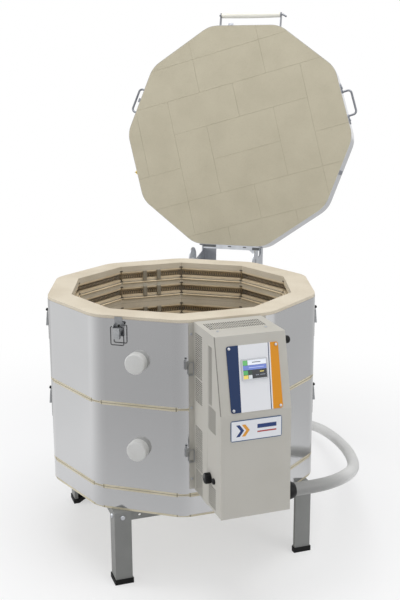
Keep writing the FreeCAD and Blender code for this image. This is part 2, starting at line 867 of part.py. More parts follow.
def rounded_path(points):
    """Straight runs joined by tangent arcs as large as the runs allow."""
    edges = []
    here = points[0]
    radii = []
    for before, corner, after in zip(points, points[1:], points[2:]):
        back = before - corner
        ahead = after - corner
        run = min(back.Length, ahead.Length)
        turn = math.pi - back.getAngle(ahead)
        reach = 0.45 * run
        radii.append(reach / math.tan(turn / 2))
        back.normalize()
        ahead.normalize()
        first = corner + back * reach
        last = corner + ahead * reach
        middle_way = back + ahead
        middle_way.normalize()
        sag = radii[-1] / math.cos(turn / 2) - radii[-1]
        edges.append(Part.LineSegment(here, first).toShape())
        edges.append(Part.Arc(first, corner + middle_way * sag, last).toShape())
        here = last
    edges.append(Part.LineSegment(here, points[-1]).toShape())
    return Part.Wire(edges), radii


def supply_cord():
    points = cord_route()
    path, radii = rounded_path(points)
    along = points[1] - points[0]
    section = Part.Wire(Part.Circle(points[0], along, cord_radius).toShape())
    cord = path.makePipeShell([section], True, True)
    expected = math.pi * cord_radius ** 2 * path.Length
    print("cord radii", [round(radius) for radius in radii])
    print("cord length %.0f, volume share %.4f" % (path.Length, cord.Volume / expected))
    return cord


def plug_frame(shape):
    """Place a plug drawn along +X on the cord's end."""
    points = cord_route()
    heading = points[-1] - points[-2]
    angle = math.degrees(math.atan2(heading.y, heading.x))
    copy = shape.copy()
    copy.rotate(V(0, 0, 0), V(0, 0, 1), angle)
    copy.translate(points[-1])
    return copy


def supply_plug():
    """Moulded plug with a tapered neck and a flat face."""
    neck = Part.makeCone(cord_radius, 19.0, 34, V(0, 0, 0), V(1, 0, 0))
    body = Part.makeCylinder(27.0, 40, V(34, 0, 0), V(1, 0, 0))
    body = body.common(block(30, 80, -27, 27, -cord_radius, cord_radius + 8))
    return plug_frame(neck.common(block(-1, 40, -27, 27, -cord_radius, 27)).fuse(body))


def plug_blades():
    """Two flat blades and a round earth pin."""
    blades = [block(74, 96, side * 12 - 1, side * 12 + 1, -6, 7) for side in (-1, 1)]
    blades.append(Part.makeCylinder(2.8, 24, V(74, 0, 14), V(1, 0, 0)))
    return [plug_frame(blade) for blade in blades]


# Hinge

def hinge_bracket():
    """Back plate with two slotted ears that carry the rod."""
    half = ear_half_spread + hinge_sheet
    low = rim - bracket_drop
    top = rim - bracket_top_drop
    plate = block(-half, half, skin, skin + hinge_sheet, low, top)
    lobe_z = rim + ear_rise - ear_lobe_radius
    grow = hinge_rod_radius + 0.1
    ears = []
    for side in (-1, 1):
        x0 = ear_half_spread if side > 0 else -half
        x1 = x0 + hinge_sheet
        web = side_profile([(skin, low), (skin, top), (hinge_y - ear_lobe_radius, lobe_z),
                            (hinge_y + ear_lobe_radius, lobe_z),
                            (hinge_y + bracket_toe_reach, rim - bracket_toe_drop)], x0, x1)
        lobe = rod_x(ear_lobe_radius, x0, x1, hinge_y, lobe_z)
        slot = block(x0 - 1, x1 + 1, hinge_y - grow, hinge_y + grow, hinge_z,
                     hinge_z + ear_slot_length)
        ends = [rod_x(grow, x0 - 1, x1 + 1, hinge_y, z)
                for z in (hinge_z, hinge_z + ear_slot_length)]
        ears.append(web.fuse(lobe).cut(slot).cut(ends[0]).cut(ends[1]))
    return plate.fuse(ears).removeSplitter()


def hinge_rod():
    """Steel rod with a head at one end and a clip collar at the other."""
    reach = ear_half_spread + hinge_sheet
    rod = rod_x(hinge_rod_radius, -reach - 14, reach + 14, hinge_y, hinge_z)
    head = rod_x(hinge_rod_radius + 3.5, -reach - 18, -reach - 13, hinge_y, hinge_z)
    collar = rod_x(hinge_rod_radius + 3.0, reach + 6, reach + 11, hinge_y, hinge_z)
    return rod.fuse([head, collar])


def hinge_spring():
    """Outer form of the close-wound torsion spring, with its fixed leg."""
    x0 = -ear_half_spread + 22
    x1 = x0 + 46
    coil = rod_x(14.5, x0, x1, hinge_y, hinge_z)
    coil = coil.cut(rod_x(10.5, x0 - 1, x1 + 1, hinge_y, hinge_z))
    leg_y = skin + hinge_sheet
    spring_leg = side_profile([(hinge_y - 10, hinge_z - 13.5), (leg_y, hinge_z - 60),
                               (leg_y, hinge_z - 65), (hinge_y - 4, hinge_z - 13.9)],
                              x0, x0 + 4)
    return coil.fuse(spring_leg)


def spring_sleeve():
    """Tube on the rod that centres the spring."""
    x0 = -ear_half_spread + 20
    tube = rod_x(10.2, x0, x0 + 50, hinge_y, hinge_z)
    return tube.cut(rod_x(hinge_rod_radius + 0.05, x0 - 1, x0 + 51, hinge_y, hinge_z))


def lid_hinge():
    """Bent plate on the lid's back facet with two broad arms round the rod."""
    t = hinge_sheet
    arm_x = ear_half_spread - arm_gap
    low = lid_under + 1
    face = lid_skin
    rear = hinge_y - hinge_arm_set_forward
    crown = lid_under + lid_brick + hinge_arm_rise
    plate = block(-arm_x, arm_x, face, face + t, low, lid_under + lid_brick - 4)
    pieces = [block(-arm_x + hinge_left_inset, arm_x, face, face + 13, low, low + t)]
    for side in (-1, 1):
        x0 = arm_x - t if side > 0 else -arm_x
        arm = side_profile([(face + 1, lid_under + lid_brick - 5), (face + 1, low + 29),
                            (face + 20, low + 33), (hinge_y - 35, hinge_z + 28),
                            (hinge_y - 11, hinge_z - 4), (hinge_y + 11, hinge_z - 4),
                            (hinge_y + 11, hinge_z + 8), (rear, crown)], x0, x0 + t)
        boss = rod_x(12.0, x0, x0 + t, hinge_y, hinge_z)
        pieces.append(arm.fuse(boss))
    lean = (crown - lid_under - lid_brick + 5) / (rear - face)
    top = [(face + t, lid_under + lid_brick - 5 + lean * t), (rear, crown),
           (rear, crown - t), (face + t, lid_under + lid_brick - 5 + lean * t - t)]
    pieces.append(side_profile(top, -arm_x, -arm_x + 42))
    pieces.append(side_profile(top, arm_x - 12, arm_x))
    gusset = block(arm_x - 42, arm_x - t + 0.5, face, face + 34, low + t - 1, low + 2 * t - 1)
    slant = flat_profile([(arm_x - 43, face + 4), (arm_x - 43, face + 40), (arm_x, face + 40)],
                         low, low + 10)
    pieces.append(gusset.cut(slant))
    bracket = plate.fuse(pieces)
    bore = rod_x(hinge_rod_radius + hinge_play, -arm_x - 1, arm_x + 1, hinge_y, hinge_z)
    return opened(bracket.cut(bore).removeSplitter())


def lid_screws():
    """Screws of the hinge plate and of the side handles' feet."""
    face = lid_skin + hinge_sheet
    screws = []
    for x in (-58, 8, 62):
        for z in (lid_under + 18, lid_under + 44):
            screws.append(opened(rod_y(4.0, face, face + 2.5, x, z)))
    pad = -lid_skin - handle_foot_sheet
    z = lid_under + lid_brick / 2
    for angle in side_handle_facets:
        for x in (-1, 1):
            place = x * (handle_half_length + handle_foot * 0.6)
            head = rod_y(3.6, pad - 3.0, pad, place, z)
            screws.append(opened(turned(head, angle)))
    return screws


# Lid

def floor_slab():
    """Floor of bricks with a shallow groove along the foot of the wall."""
    slab = decagon_plate(outer_apothem, brick_corner, -floor_brick, 0)
    reach = chamber_apothem - floor_groove_margin
    groove = decagon_plate(reach, 1.0, -floor_groove_depth, 1)
    field = decagon_plate(reach - floor_groove_width, 1.0, -floor_groove_depth - 1, 2)
    return slab.cut(groove.cut(field))


def lid_slab():
    return opened(decagon_plate(lid_apothem, corner_radius - jacket_gap - jacket_sheet,
                                lid_under, lid_under + lid_brick))


def lid_band():
    return opened(decagon_band(lid_skin, lid_under, lid_under + lid_brick))


def front_handle_bracket():
    """Strip on the lid's front facet with two arms and a hooked rod."""
    face = -lid_skin
    z = lid_under + lid_brick / 2
    x0 = grip_bar_shift - grip_bar_length / 2 - 4
    x1 = grip_bar_shift + grip_bar_length / 2 + 4
    strip = block(x0, x1, face - 2, face, z - 10, z + 10)
    y = face - grip_bar_stand
    arms = []
    for x in (x0, x1 - 2.5):
        arm = block(x, x + 2.5, y, face - 1, z - 8, z + 8)
        arm = arm.fuse(rod_x(8.0, x, x + 2.5, y, z))
        arms.append(arm)
    rod = rod_x(grip_rod_radius, x0 - 4, x1 + 5, y, z)
    hook = Part.makeCylinder(grip_rod_radius, 13, V(x1 + 5, y, z), V(0.86, 0.5, 0))
    elbow = Part.makeSphere(grip_rod_radius, V(x1 + 5, y, z))
    return opened(strip.fuse(arms + [rod, hook, elbow]))


def front_handle_roller():
    """Turned grip that spins on the rod, slightly fuller in the middle."""
    half = grip_bar_length / 2 - 0.5
    r = grip_bar_radius
    profile = [Part.LineSegment(V(-half, 0, 0), V(-half, r - 1.5, 0)).toShape(),
               Part.Arc(V(-half, r - 1.5, 0), V(0, r, 0), V(half, r - 1.5, 0)).toShape(),
               Part.LineSegment(V(half, r - 1.5, 0), V(half, 0, 0)).toShape(),
               Part.LineSegment(V(half, 0, 0), V(-half, 0, 0)).toShape()]
    roller = Part.Face(Part.Wire(profile)).revolve(V(0, 0, 0), V(1, 0, 0), 360)
    roller = roller.cut(rod_x(grip_rod_radius + grip_rod_play, -half - 1, half + 1, 0, 0))
    roller.translate(V(grip_bar_shift, -lid_skin - grip_bar_stand,
                       lid_under + lid_brick / 2))
    return opened(roller)


def side_handle():
    """Bent bar handle whose flattened ends are screwed to the lid band."""
    face = -lid_skin
    z = lid_under + lid_brick / 2
    out = face - handle_reach
    half = handle_half_length
    b = handle_bend
    k = b * (1 - math.sqrt(0.5))
    edges = [Part.LineSegment(V(-half, face - 1, z), V(-half, out + b, z)).toShape(),
             Part.Arc(V(-half, out + b, z), V(-half + k, out + k, z),
                      V(-half + b, out, z)).toShape(),
             Part.LineSegment(V(-half + b, out, z), V(half - b, out, z)).toShape(),
             Part.Arc(V(half - b, out, z), V(half - k, out + k, z),
                      V(half, out + b, z)).toShape(),
             Part.LineSegment(V(half, out + b, z), V(half, face - 1, z)).toShape()]
    section = Part.Wire(Part.Circle(V(-half, face - 1, z), V(0, 1, 0),
                                    handle_bar_radius).toShape())
    bar = Part.Wire(edges).makePipeShell([section], True, True)
    feet = []
    for side in (-1, 1):
        foot = upright_plate(handle_foot + 8, 13.0, handle_foot_sheet, 5.0, 0, z - 6.5)
        foot.translate(V(side * (half + handle_foot / 2), face, 0))
        feet.append(foot)
    return bar.fuse(feet)


def keeper(x, width, base_z, stand):
    """Hook plate that a latch bail pulls on."""
    y = -stand
    points = [(y, base_z + 2), (y - 1.5, base_z + 2), (y - 1.5, base_z + 4),
              (y - 9, base_z + 6.5), (y - 9, base_z + 9), (y - 7.5, base_z + 9),
              (y - 1.5, base_z + 6.5), (y - 1.5, base_z + 19), (y, base_z + 19)]
    return side_profile(points, x - width / 2, x + width / 2)


def lid_side_bracket():
    """Small angle with a brass screw on the lid's left rear facet."""
    face = -lid_skin
    z = lid_under + lid_brick / 2
    plate = block(-14, 14, face - 1.5, face, z - 12, z + 12)
    tab = block(-14, -12.5, face - 15, face, z - 9, z + 9)
    stud = rod_x(4.0, -19, -8, face - 9, z)
    return opened(turned(plate.fuse([tab, stud]), -108))


# Latches

class Latch:
    """Wire latch on the jacket: screwed base, thumb lever and swinging bail."""

    def __init__(self, name, turn, x, ring_top, drop, half_width, bail, lever, lever_half,
                 plate_rise):
        self.name = name
        self.turn = turn
        self.x = x
        self.z = ring_top - drop
        self.half_width = half_width
        self.bail = bail
        self.lever = lever
        self.lever_half = lever_half
        self.plate_rise = plate_rise
        self.y = -skin - latch_stand

    def base(self):
        """Plate with two ears, the lever's pin, the bail's holes and a rubber stop."""
        h = self.lever_half
        outer = h + 0.6 + latch_sheet
        x, y, z = self.x, self.y, self.z
        top = z + self.plate_rise
        plate = block(x - outer, x + outer, -skin - latch_sheet, -skin, z - 6, top)
        ears = [side_profile([(-skin, z - 6), (y - 2, z - 4), (y - 4, z - 1), (y - 4, z + 7),
                              (y - 1, z + 9), (-skin, z + 13)], x0, x0 + latch_sheet)
                for x0 in (x - outer, x + outer - latch_sheet)]
        pin = rod_x(latch_pin_radius, x - outer + 0.5, x + outer - 0.5, y, z)
        stop_x = x if self.plate_rise < 20 else x + outer - 2.5
        stop_z = z + 9.7
        neck = block(stop_x - 2.5, stop_x + 2.5, y - 3.0, -skin, stop_z + 0.5, stop_z + 2)
        stop = rod_x(latch_tip_radius, stop_x - 4, stop_x + 4, y - 4.9, stop_z)
        base = plate.fuse(ears + [pin, neck, stop])
        bail_z = z + latch_bail_rise
        hole = rod_x(bail_wire + latch_play, x - outer - 1, x - h - 0.3, y, bail_z)
        other = rod_x(bail_wire + latch_play, x + h + 0.3, x + outer + 1, y, bail_z)
        return turned(base.cut(hole).cut(other), self.turn)

    def lever_piece(self):
        """Pressed lever, a channel that deepens towards its free end."""
        h = self.lever_half
        x, y, z = self.x, self.y, self.z
        end = z - self.lever
        points = [(y + 3.0, z + 1.5), (y + 1.5, z + 3.0), (y - 5.4, z + 3.0), (y - 8.7, end),
                  (y + 2.0, end), (y + 3.0, end + 5)]
        lever = side_profile(points, x - h, x + h)
        pocket = side_profile([(y + 5, z - 5), (y - 4.6, z - 5), (y - 7.2, end + 1.5),
                               (y + 5, end + 1.5)], x - h + 1.2, x + h - 1.2)
        bore = rod_x(latch_pin_radius + latch_play, x - h - 1, x + h + 1, y, z)
        return turned(lever.cut(pocket).cut(bore), self.turn)

    def bail_piece(self):
        """Wire loop whose ends turn in the ears."""
        x, y, z = self.x, self.y, self.z + latch_bail_rise
        w = self.half_width
        low = z - self.bail
        inner = self.lever_half + 0.9
        r = 4.0
        c = r * (1 - math.sqrt(0.5))
        b = 2.6
        k = b * (1 - math.sqrt(0.5))
        edges = [Part.LineSegment(V(x - inner, y, z), V(x - w + b, y, z)).toShape(),
                 Part.Arc(V(x - w + b, y, z), V(x - w + k, y, z - k),
                          V(x - w, y, z - b)).toShape(),
                 Part.LineSegment(V(x - w, y, z - b), V(x - w, y, low + r)).toShape(),
                 Part.Arc(V(x - w, y, low + r), V(x - w + c, y, low + c),
                          V(x - w + r, y, low)).toShape(),
                 Part.LineSegment(V(x - w + r, y, low), V(x + w - r, y, low)).toShape(),
                 Part.Arc(V(x + w - r, y, low), V(x + w - c, y, low + c),
                          V(x + w, y, low + r)).toShape(),
                 Part.LineSegment(V(x + w, y, low + r), V(x + w, y, z - b)).toShape(),
                 Part.Arc(V(x + w, y, z - b), V(x + w - k, y, z - k),
                          V(x + w - b, y, z)).toShape(),
                 Part.LineSegment(V(x + w - b, y, z), V(x + inner, y, z)).toShape()]
        section = Part.Wire(Part.Circle(V(x - inner, y, z), V(1, 0, 0), bail_wire).toShape())
        return turned(Part.Wire(edges).makePipeShell([section], True, True), self.turn)


# Each latch: name, turn, place along, ring top, drop, bail half width and length, lever
# length and half width, height of the plate above the pivot
latches = [Latch("front", 0.0, -47.0, rim, 30.0, 17.0, 46.0, 24.0, 8.0, 28.0),
           Latch("left_upper", -72.0, 0.0, rim, 75.0, 14.0, 78.0, 35.0, 7.0, 15.0),
           Latch("left_lower", -72.0, 0.0, ring_height, 75.0, 14.0, 78.0, 35.0, 7.0, 15.0),
           Latch("right_upper", 108.0, 0.0, rim, 75.0, 14.0, 78.0, 35.0, 7.0, 15.0),
           Latch("right_lower", 108.0, 0.0, ring_height, 75.0, 14.0, 78.0, 35.0, 7.0, 15.0)]


def build():
    ring_names = ("lower", "upper")
    holders = []
    for ring, name in enumerate(ring_names[:ring_count]):
        save(name + "_brick_ring", brick_ring(ring))
        save(name + "_jacket", ring_jacket(ring))
        save(name + "_peephole_plug", turned(peephole_plug(peephole_height(ring)), peephole_facet))
        holders += holder_ring(ring)
    save("element_holders", holders)
    all_heights = [height for ring in range(ring_count) for height in groove_heights(ring)]
    save("heating_elements", [element(height) for height in all_heights])
    pairs = [(height, side) for height in all_heights for side in (-1, 1)]
    save("lead_bushes", [lead_bush(height, side) for height, side in pairs])
    save("lead_terminals", [lead_terminal(height, side) for height, side in pairs])
    save("groove_clips", groove_clips())
    save("floor_slab", floor_slab())
    save("floor_band", decagon_band(skin, -floor_brick + seam_reveal, -seam_reveal))
    save("stand_rails", four_sides(rail()))
    save("stand_legs", four_sides(drilled_leg()))
    save("foot_caps", four_sides(foot_cap()))
    save("stand_bolts", [piece for side in (-1, 1) for piece in four_sides(stand_bolt(side))])
    box_pieces = {"rear_box": rear_box(), "front_cover": front_cover(),
                  "controller_plate": controller_plate(), "touch_screen": screen(),
                  "badge_plate": badge_plate(), "inner_panel": inner_panel(),
                  "transformer": transformer(), "terminal_block": terminal_block(),
                  "power_switch": power_switch(), "power_knob": power_knob(),
                  "fuse_cap": side_cap(-1, fuse_radius, fuse_out, fuse_drop, 5.0),
                  "access_cap": side_cap(1, button_radius, button_out, button_drop, 11.0),
                  "cord_grip": cord_grip()}
    for name, shape in box_pieces.items():
        save(name, turned(shape, box_turn))
    save("power_relays", [turned(relay, box_turn) for relay in power_relays()])
    save("box_screws", [turned(screw, box_turn) for screw in box_screws()])
    save("supply_cord", supply_cord())
    save("supply_plug", supply_plug())
    save("plug_blades", plug_blades())
    save("hinge_bracket", hinge_bracket())
    save("hinge_rod", [hinge_rod(), spring_sleeve()])
    save("hinge_spring", hinge_spring())
    save("lid_hinge", lid_hinge())
    save("lid_screws", lid_screws())
    save("lid_slab", lid_slab())
    save("lid_band", lid_band())
    save("front_handle_bracket", front_handle_bracket())
    save("front_handle_roller", front_handle_roller())
    for side, angle in zip(("left", "right"), side_handle_facets):
        save(side + "_handle", opened(turned(side_handle(), angle)))
    save("lid_side_bracket", lid_side_bracket())
    lid_stand = lid_skin
    save("lid_keepers", [opened(turned(keeper(latch.x, latch.lever_half * 2, lid_under, lid_stand),
                                       latch.turn))
                         for latch in latches if latch.z > ring_height])
    ring_keepers = [turned(keeper(latch.x, latch.lever_half * 2, ring_height + seam_reveal + 1,
                                  skin), latch.turn)
                    for latch in latches if latch.z < ring_height]
    catches = [turned(piece, box_turn) for drop in catch_drops for piece in box_catch(drop)]
    save("latch_bases", [latch.base() for latch in latches] + ring_keepers + catches)
    for latch in latches:
        save(latch.name + "_latch_lever", latch.lever_piece())
        save(latch.name + "_latch_bail", latch.bail_piece())


build()
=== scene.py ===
import math

import bpy
from mathutils import Matrix, Vector


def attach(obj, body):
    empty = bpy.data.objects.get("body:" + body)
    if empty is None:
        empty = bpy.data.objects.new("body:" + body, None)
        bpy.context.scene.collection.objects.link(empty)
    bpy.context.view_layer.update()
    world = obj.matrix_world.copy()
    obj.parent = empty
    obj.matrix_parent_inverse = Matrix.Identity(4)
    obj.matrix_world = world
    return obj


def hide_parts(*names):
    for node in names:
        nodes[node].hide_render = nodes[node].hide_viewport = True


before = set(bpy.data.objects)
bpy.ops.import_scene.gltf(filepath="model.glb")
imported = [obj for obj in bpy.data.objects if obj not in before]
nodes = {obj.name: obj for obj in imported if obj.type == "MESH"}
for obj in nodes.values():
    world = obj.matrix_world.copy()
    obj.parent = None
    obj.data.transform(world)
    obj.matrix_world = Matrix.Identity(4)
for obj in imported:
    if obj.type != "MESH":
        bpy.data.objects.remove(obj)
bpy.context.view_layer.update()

# Sizes that the dressed pieces share with the kiln, in metres
skin = 0.3595
chamber = 0.295
ring_height = 0.2286
rim = 2 * ring_height
course = ring_height / 2
groove_drops = (0.0305, 0.0795)
groove_heights = [rim - course * level - drop for level in range(4) for drop in groove_drops]
groove_height = 0.028
floor_brick = 0.060
stand_foot = -0.2628
lid_skin = 0.3605
lid_under = 0.4576
lid_top = 0.5211
hinge_y = 0.4412
hinge_z = 0.4109
lip_front = 0.5085
box_half_width = 0.088
box_top = 0.4522
box_sheet = 0.0014
panel_out = 0.189
panel_foot = 0.2752
panel_shift = 0.0025

# Angles in degrees, and the two that are used in radians
side_count = 10
facet = 360 / side_count
lid_open = 104.8
panel_lean = 13.66
brick_turn = -16.4
half_turn = math.pi / side_count
box_turn = math.radians(facet)

on_box = Matrix.Rotation(box_turn, 4, "Z")
hinge_point = Matrix.Translation((0, hinge_y, hinge_z))
on_lid = hinge_point @ Matrix.Rotation(math.radians(-lid_open), 4, "X") @ hinge_point.inverted()


def on_facet(degrees):
    return Matrix.Rotation(math.radians(degrees), 4, "Z")


# Camera

def set_camera():
    turn, rise, roll = (math.radians(angle) for angle in (16.816, 13.985, -0.284))
    back = Vector((math.sin(turn) * math.cos(rise), -math.cos(turn) * math.cos(rise),
                   math.sin(rise)))
    right = Vector((math.cos(turn), math.sin(turn), 0))
    up = back.cross(right)
    level_right = right * math.cos(roll) + up * math.sin(roll)
    level_up = up * math.cos(roll) - right * math.sin(roll)
    place = (0.80777, -2.49555, 1.0675)
    lens = bpy.data.cameras.new("camera")
    lens.lens = 58.089
    lens.sensor_width = 36
    lens.sensor_fit = "VERTICAL"
    lens.sensor_height = 36
    camera = bpy.data.objects.new("camera", lens)
    bpy.context.scene.collection.objects.link(camera)
    pose = Matrix((level_right, level_up, back)).transposed().to_4x4()
    pose.translation = place
    camera.matrix_world = pose
    bpy.context.scene.camera = camera


set_camera()


# Finishes

def tone(red, green, blue):
    """Linear colour from the 0 to 255 values of a swatch."""
    parts = [value / 255 for value in (red, green, blue)]
    return tuple(part / 12.92 if part < 0.04045 else ((part + 0.055) / 1.055) ** 2.4
                 for part in parts) + (1.0,)


class Value:
    """A number that varies over a surface; sums on it add maths nodes."""

    def __init__(self, finish, socket):
        self.finish = finish
        self.socket = socket

    def math(self, operation, *values):
        return self.finish.node("ShaderNodeMath", {"operation": operation}, values)

    def __add__(self, other):
        return self.math("ADD", self, other)

    __radd__ = __add__

    def __sub__(self, other):
        return self.math("SUBTRACT", self, other)

    def __rsub__(self, other):
        return self.math("SUBTRACT", other, self)

    def __mul__(self, other):
        return self.math("MULTIPLY", self, other)

    __rmul__ = __mul__

    def __truediv__(self, other):
        return self.math("DIVIDE", self, other)

    def __gt__(self, other):
        return self.math("GREATER_THAN", self, other)

    def __lt__(self, other):
        return self.math("LESS_THAN", self, other)

    def size(self):
        return self.math("ABSOLUTE", self)

    def power(self, other):
        return self.math("POWER", self, other)

    def between(self, low, high):
        """0 below low, 1 above high, smooth in between."""
        return self.finish.node("ShaderNodeMapRange", {"interpolation_type": "SMOOTHSTEP"},
                                {0: self, 1: low, 2: high})


class Finish:
    """A material built node by node round its surface shader."""

    def __init__(self, name, rough=0.5, metal=0.0, coat=0.0, coat_rough=0.1, shine=0.5):
        self.material = bpy.data.materials.new(name)
        self.material.use_nodes = True
        self.tree = self.material.node_tree
        self.shader = self.tree.nodes["Principled BSDF"]
        self.set("Roughness", rough)
        self.set("Metallic", metal)
        self.set("Coat Weight", coat)
        self.set("Coat Roughness", coat_rough)
        self.set("Specular IOR Level", shine)

    def set(self, socket, value):
        if isinstance(value, Value):
            self.tree.links.new(value.socket, self.shader.inputs[socket])
        else:
            self.shader.inputs[socket].default_value = value

    def node(self, kind, settings, values, output=0):
        made = self.tree.nodes.new(kind)
        for key, value in settings.items():
            setattr(made, key, value)
        pairs = values.items() if isinstance(values, dict) else enumerate(values)
        for key, value in pairs:
            if isinstance(value, Value):
                self.tree.links.new(value.socket, made.inputs[key])
            else:
                made.inputs[key].default_value = value
        return Value(self, made.outputs[output])

    def place(self, stretch=(1, 1, 1), turn=(0, 0, 0), centre=(0, 0, 0)):
        """Object coordinates, moved to a centre, turned and then stretched."""
        at = self.node("ShaderNodeTexCoord", {}, {}, "Object")
        if any(centre) or any(turn):
            at = self.node("ShaderNodeMapping", {"vector_type": "TEXTURE"},
                           {0: at, "Location": centre, "Rotation": turn})
        return self.node("ShaderNodeMapping", {}, {0: at, "Scale": stretch})

    def split(self, at):
        return [self.node("ShaderNodeSeparateXYZ", {}, {0: at}, axis) for axis in range(3)]

    def noise(self, at, scale, detail=2.0, rough=0.5):
        return self.node("ShaderNodeTexNoise", {},
                         {"Vector": at, "Scale": scale, "Detail": detail, "Roughness": rough})

    def mix(self, share, first, second):
        return self.node("ShaderNodeMix", {"data_type": "RGBA"},
                         {0: share, 6: first, 7: second}, 2)

    def bump(self, height, depth, strength=1.0):
        """Relief from a height of 0 to 1 over a depth in metres."""
        normal = self.node("ShaderNodeBump", {},
                           {"Height": height, "Distance": depth, "Strength": strength})
        self.set("Normal", normal)


def box_of(u, v, u0, u1, v0, v1):
    """1 inside a rectangle of two coordinates."""
    return (u > u0) * (u < u1) * (v > v0) * (v < v1)


def brick_finish(name, pale, deep, stain, rough=0.92):
    """Soft insulating firebrick: open pores, crumbly grain and faint cloudy stains."""
    finish = Finish(name, rough=rough)
    at = finish.place()
    cloud = finish.noise(at, 9.0, 3.0)
    grain = finish.noise(at, 420.0, 3.0, 0.65)
    pores = finish.noise(at, 1300.0, 1.0).between(0.60, 0.72)
    colour = finish.mix(cloud.between(0.35, 0.68), pale, deep)
    colour = finish.mix(grain.between(0.52, 0.75) * 0.35, colour, stain)
    colour = finish.mix(pores * 0.45, colour, stain)
    return finish, colour, grain * 0.6 + (1.0 - pores) * 0.4


def plain_brick_finish(name, pale, deep, stain, rough=0.92):
    finish, colour, relief = brick_finish(name, pale, deep, stain, rough)
    finish.set("Base Color", colour)
    finish.bump(relief, 0.0009, 0.55)
    return finish


def from_corner(x, y):
    """Distance along the wall from the nearest upright corner, in metres."""
    facets = y.math("ARCTAN2", y, x) / (2 * half_turn) + side_count
    share = facets.math("FRACT", facets)
    return (0.5 - (share - 0.5).size()) * (2 * half_turn * chamber)


def wall_brick_finish():
    """Brick of the wall: course joints, painted shade in the gaps between holders at the corners
    and painted shadow lines by the holder lips.
    """
    finish, colour, relief = brick_finish("rim_firebrick", tone(221, 211, 192),
                                          tone(210, 199, 179), tone(182, 167, 140))
    x, y, z = finish.split(finish.place())
    across = from_corner(x, y)
    groove_depth = 0.014
    near = (x * x + y * y).power(0.5) < chamber / math.cos(half_turn) + groove_depth
    down = (rim - z) / course
    down = down.math("FRACT", down + 0.004) * course
    inside = near * (z < rim - 0.0008)
    mortar = tone(122, 112, 92)
    joint = (down < 0.0010) * inside
    seam = (across < 0.0006) * inside
    # Painted shade in the gaps between the holders at the corners.
    corner_shade = (across < 0.0050) * inside
    slots = 0.0
    lines = 0.0
    # Painted shadow lines: two dark bands below each groove, beside and under the holder's lower
    # lip.
    for drop in groove_drops:
        slots = slots + ((down - drop).size() < groove_height / 2 + 0.0035)
        under = down - (drop + groove_height / 2)
        for first, last in ((0.0026, 0.0045), (0.0084, 0.0106)):
            lines = lines + (under > first) * (under < last)
    colour = finish.mix(joint * 0.45, colour, mortar)
    colour = finish.mix(lines * inside * 0.8, colour, tone(104, 90, 66))
    colour = finish.mix(seam * 0.5, colour, mortar)
    colour = finish.mix(corner_shade * slots * 0.85, colour, tone(58, 52, 46))
    finish.set("Base Color", colour)
    finish.bump(relief, 0.0009, 0.55)
    return finish


def seam_finish():
    """Edges of the bricks between the jackets, with the hairline joint of the rings."""
    finish, colour, relief = brick_finish("seam_firebrick", tone(216, 208, 186),
                                          tone(204, 196, 172), tone(170, 156, 128))
    x, y, z = finish.split(finish.place())
    across = from_corner(x, y)
    hairline = 0.0009
    corner_joint = 0.013
    line = ((z - ring_height).size() < hairline) + (z.size() < hairline)
    tick = (across - corner_joint).size() < 0.0011
    colour = finish.mix(line * 0.75, colour, tone(128, 118, 98))
    colour = finish.mix(tick * 0.7, colour, tone(92, 86, 74))
    finish.set("Base Color", colour)
    finish.bump(relief, 0.0006, 0.5)
    return finish


def laid_brick_finish(name, pale, deep, stain):
    """Firebrick whose bricks differ a little in colour, by the tone kept on each."""
    finish = Finish(name, rough=0.93)
    at = finish.place()
    own = finish.node("ShaderNodeAttribute", {"attribute_name": "brick_tone"}, {}, "Fac")
    cloud = finish.noise(at, 11.0, 4.0)
    grain = finish.noise(at, 380.0, 3.0, 0.65)
    laid = finish.place(stretch=(30, 420, 420), turn=(0, 0, math.radians(brick_turn)))
    sawn = finish.noise(laid, 1.0, 2.0)
    pores = finish.noise(at, 1250.0, 1.0).between(0.61, 0.72)
    colour = finish.mix(own * 0.75 + cloud.between(0.3, 0.7) * 0.3, pale, deep)
    colour = finish.mix(grain.between(0.5, 0.75) * 0.3, colour, stain)
    colour = finish.mix(pores * 0.4, colour, stain)
    finish.set("Base Color", colour)
    finish.bump(grain * 0.5 + sawn * 0.3 + (1.0 - pores) * 0.3, 0.0009, 0.5)
    return finish


def steel_finish(name, pale, dull, rough, along=(14, 14, 900)):
    """Rolled stainless sheet: fine lines, soft smears, and painted shade on the steel inside the
    box.
    """
    finish = Finish(name, metal=1.0)
    lines = finish.noise(finish.place(stretch=along), 1.0, 3.0, 0.6)
    smear = finish.noise(finish.place(), 5.0, 3.0)
    colour = finish.mix(lines * 0.35 + smear.between(0.3, 0.75) * 0.5, pale, dull)
    across, out, up = finish.split(finish.place(turn=(0, 0, box_turn)))
    box_floor = 0.0165
    # Painted shade: the steel inside the box is darkened as if in the box's shadow, so the slots
    # look dark.
    shade_in_box = (across.size() < box_half_width - box_sheet) * (out < -skin + 0.05)
    shade_in_box = shade_in_box * (up > box_floor) * (up < box_top - box_sheet)
    finish.set("Base Color", finish.mix(shade_in_box, colour, tone(46, 42, 38)))
    finish.set("Roughness", rough + (lines - 0.5) * 0.06 + (smear - 0.5) * 0.08)
    finish.bump(lines, 0.00003, 0.4)
    return finish


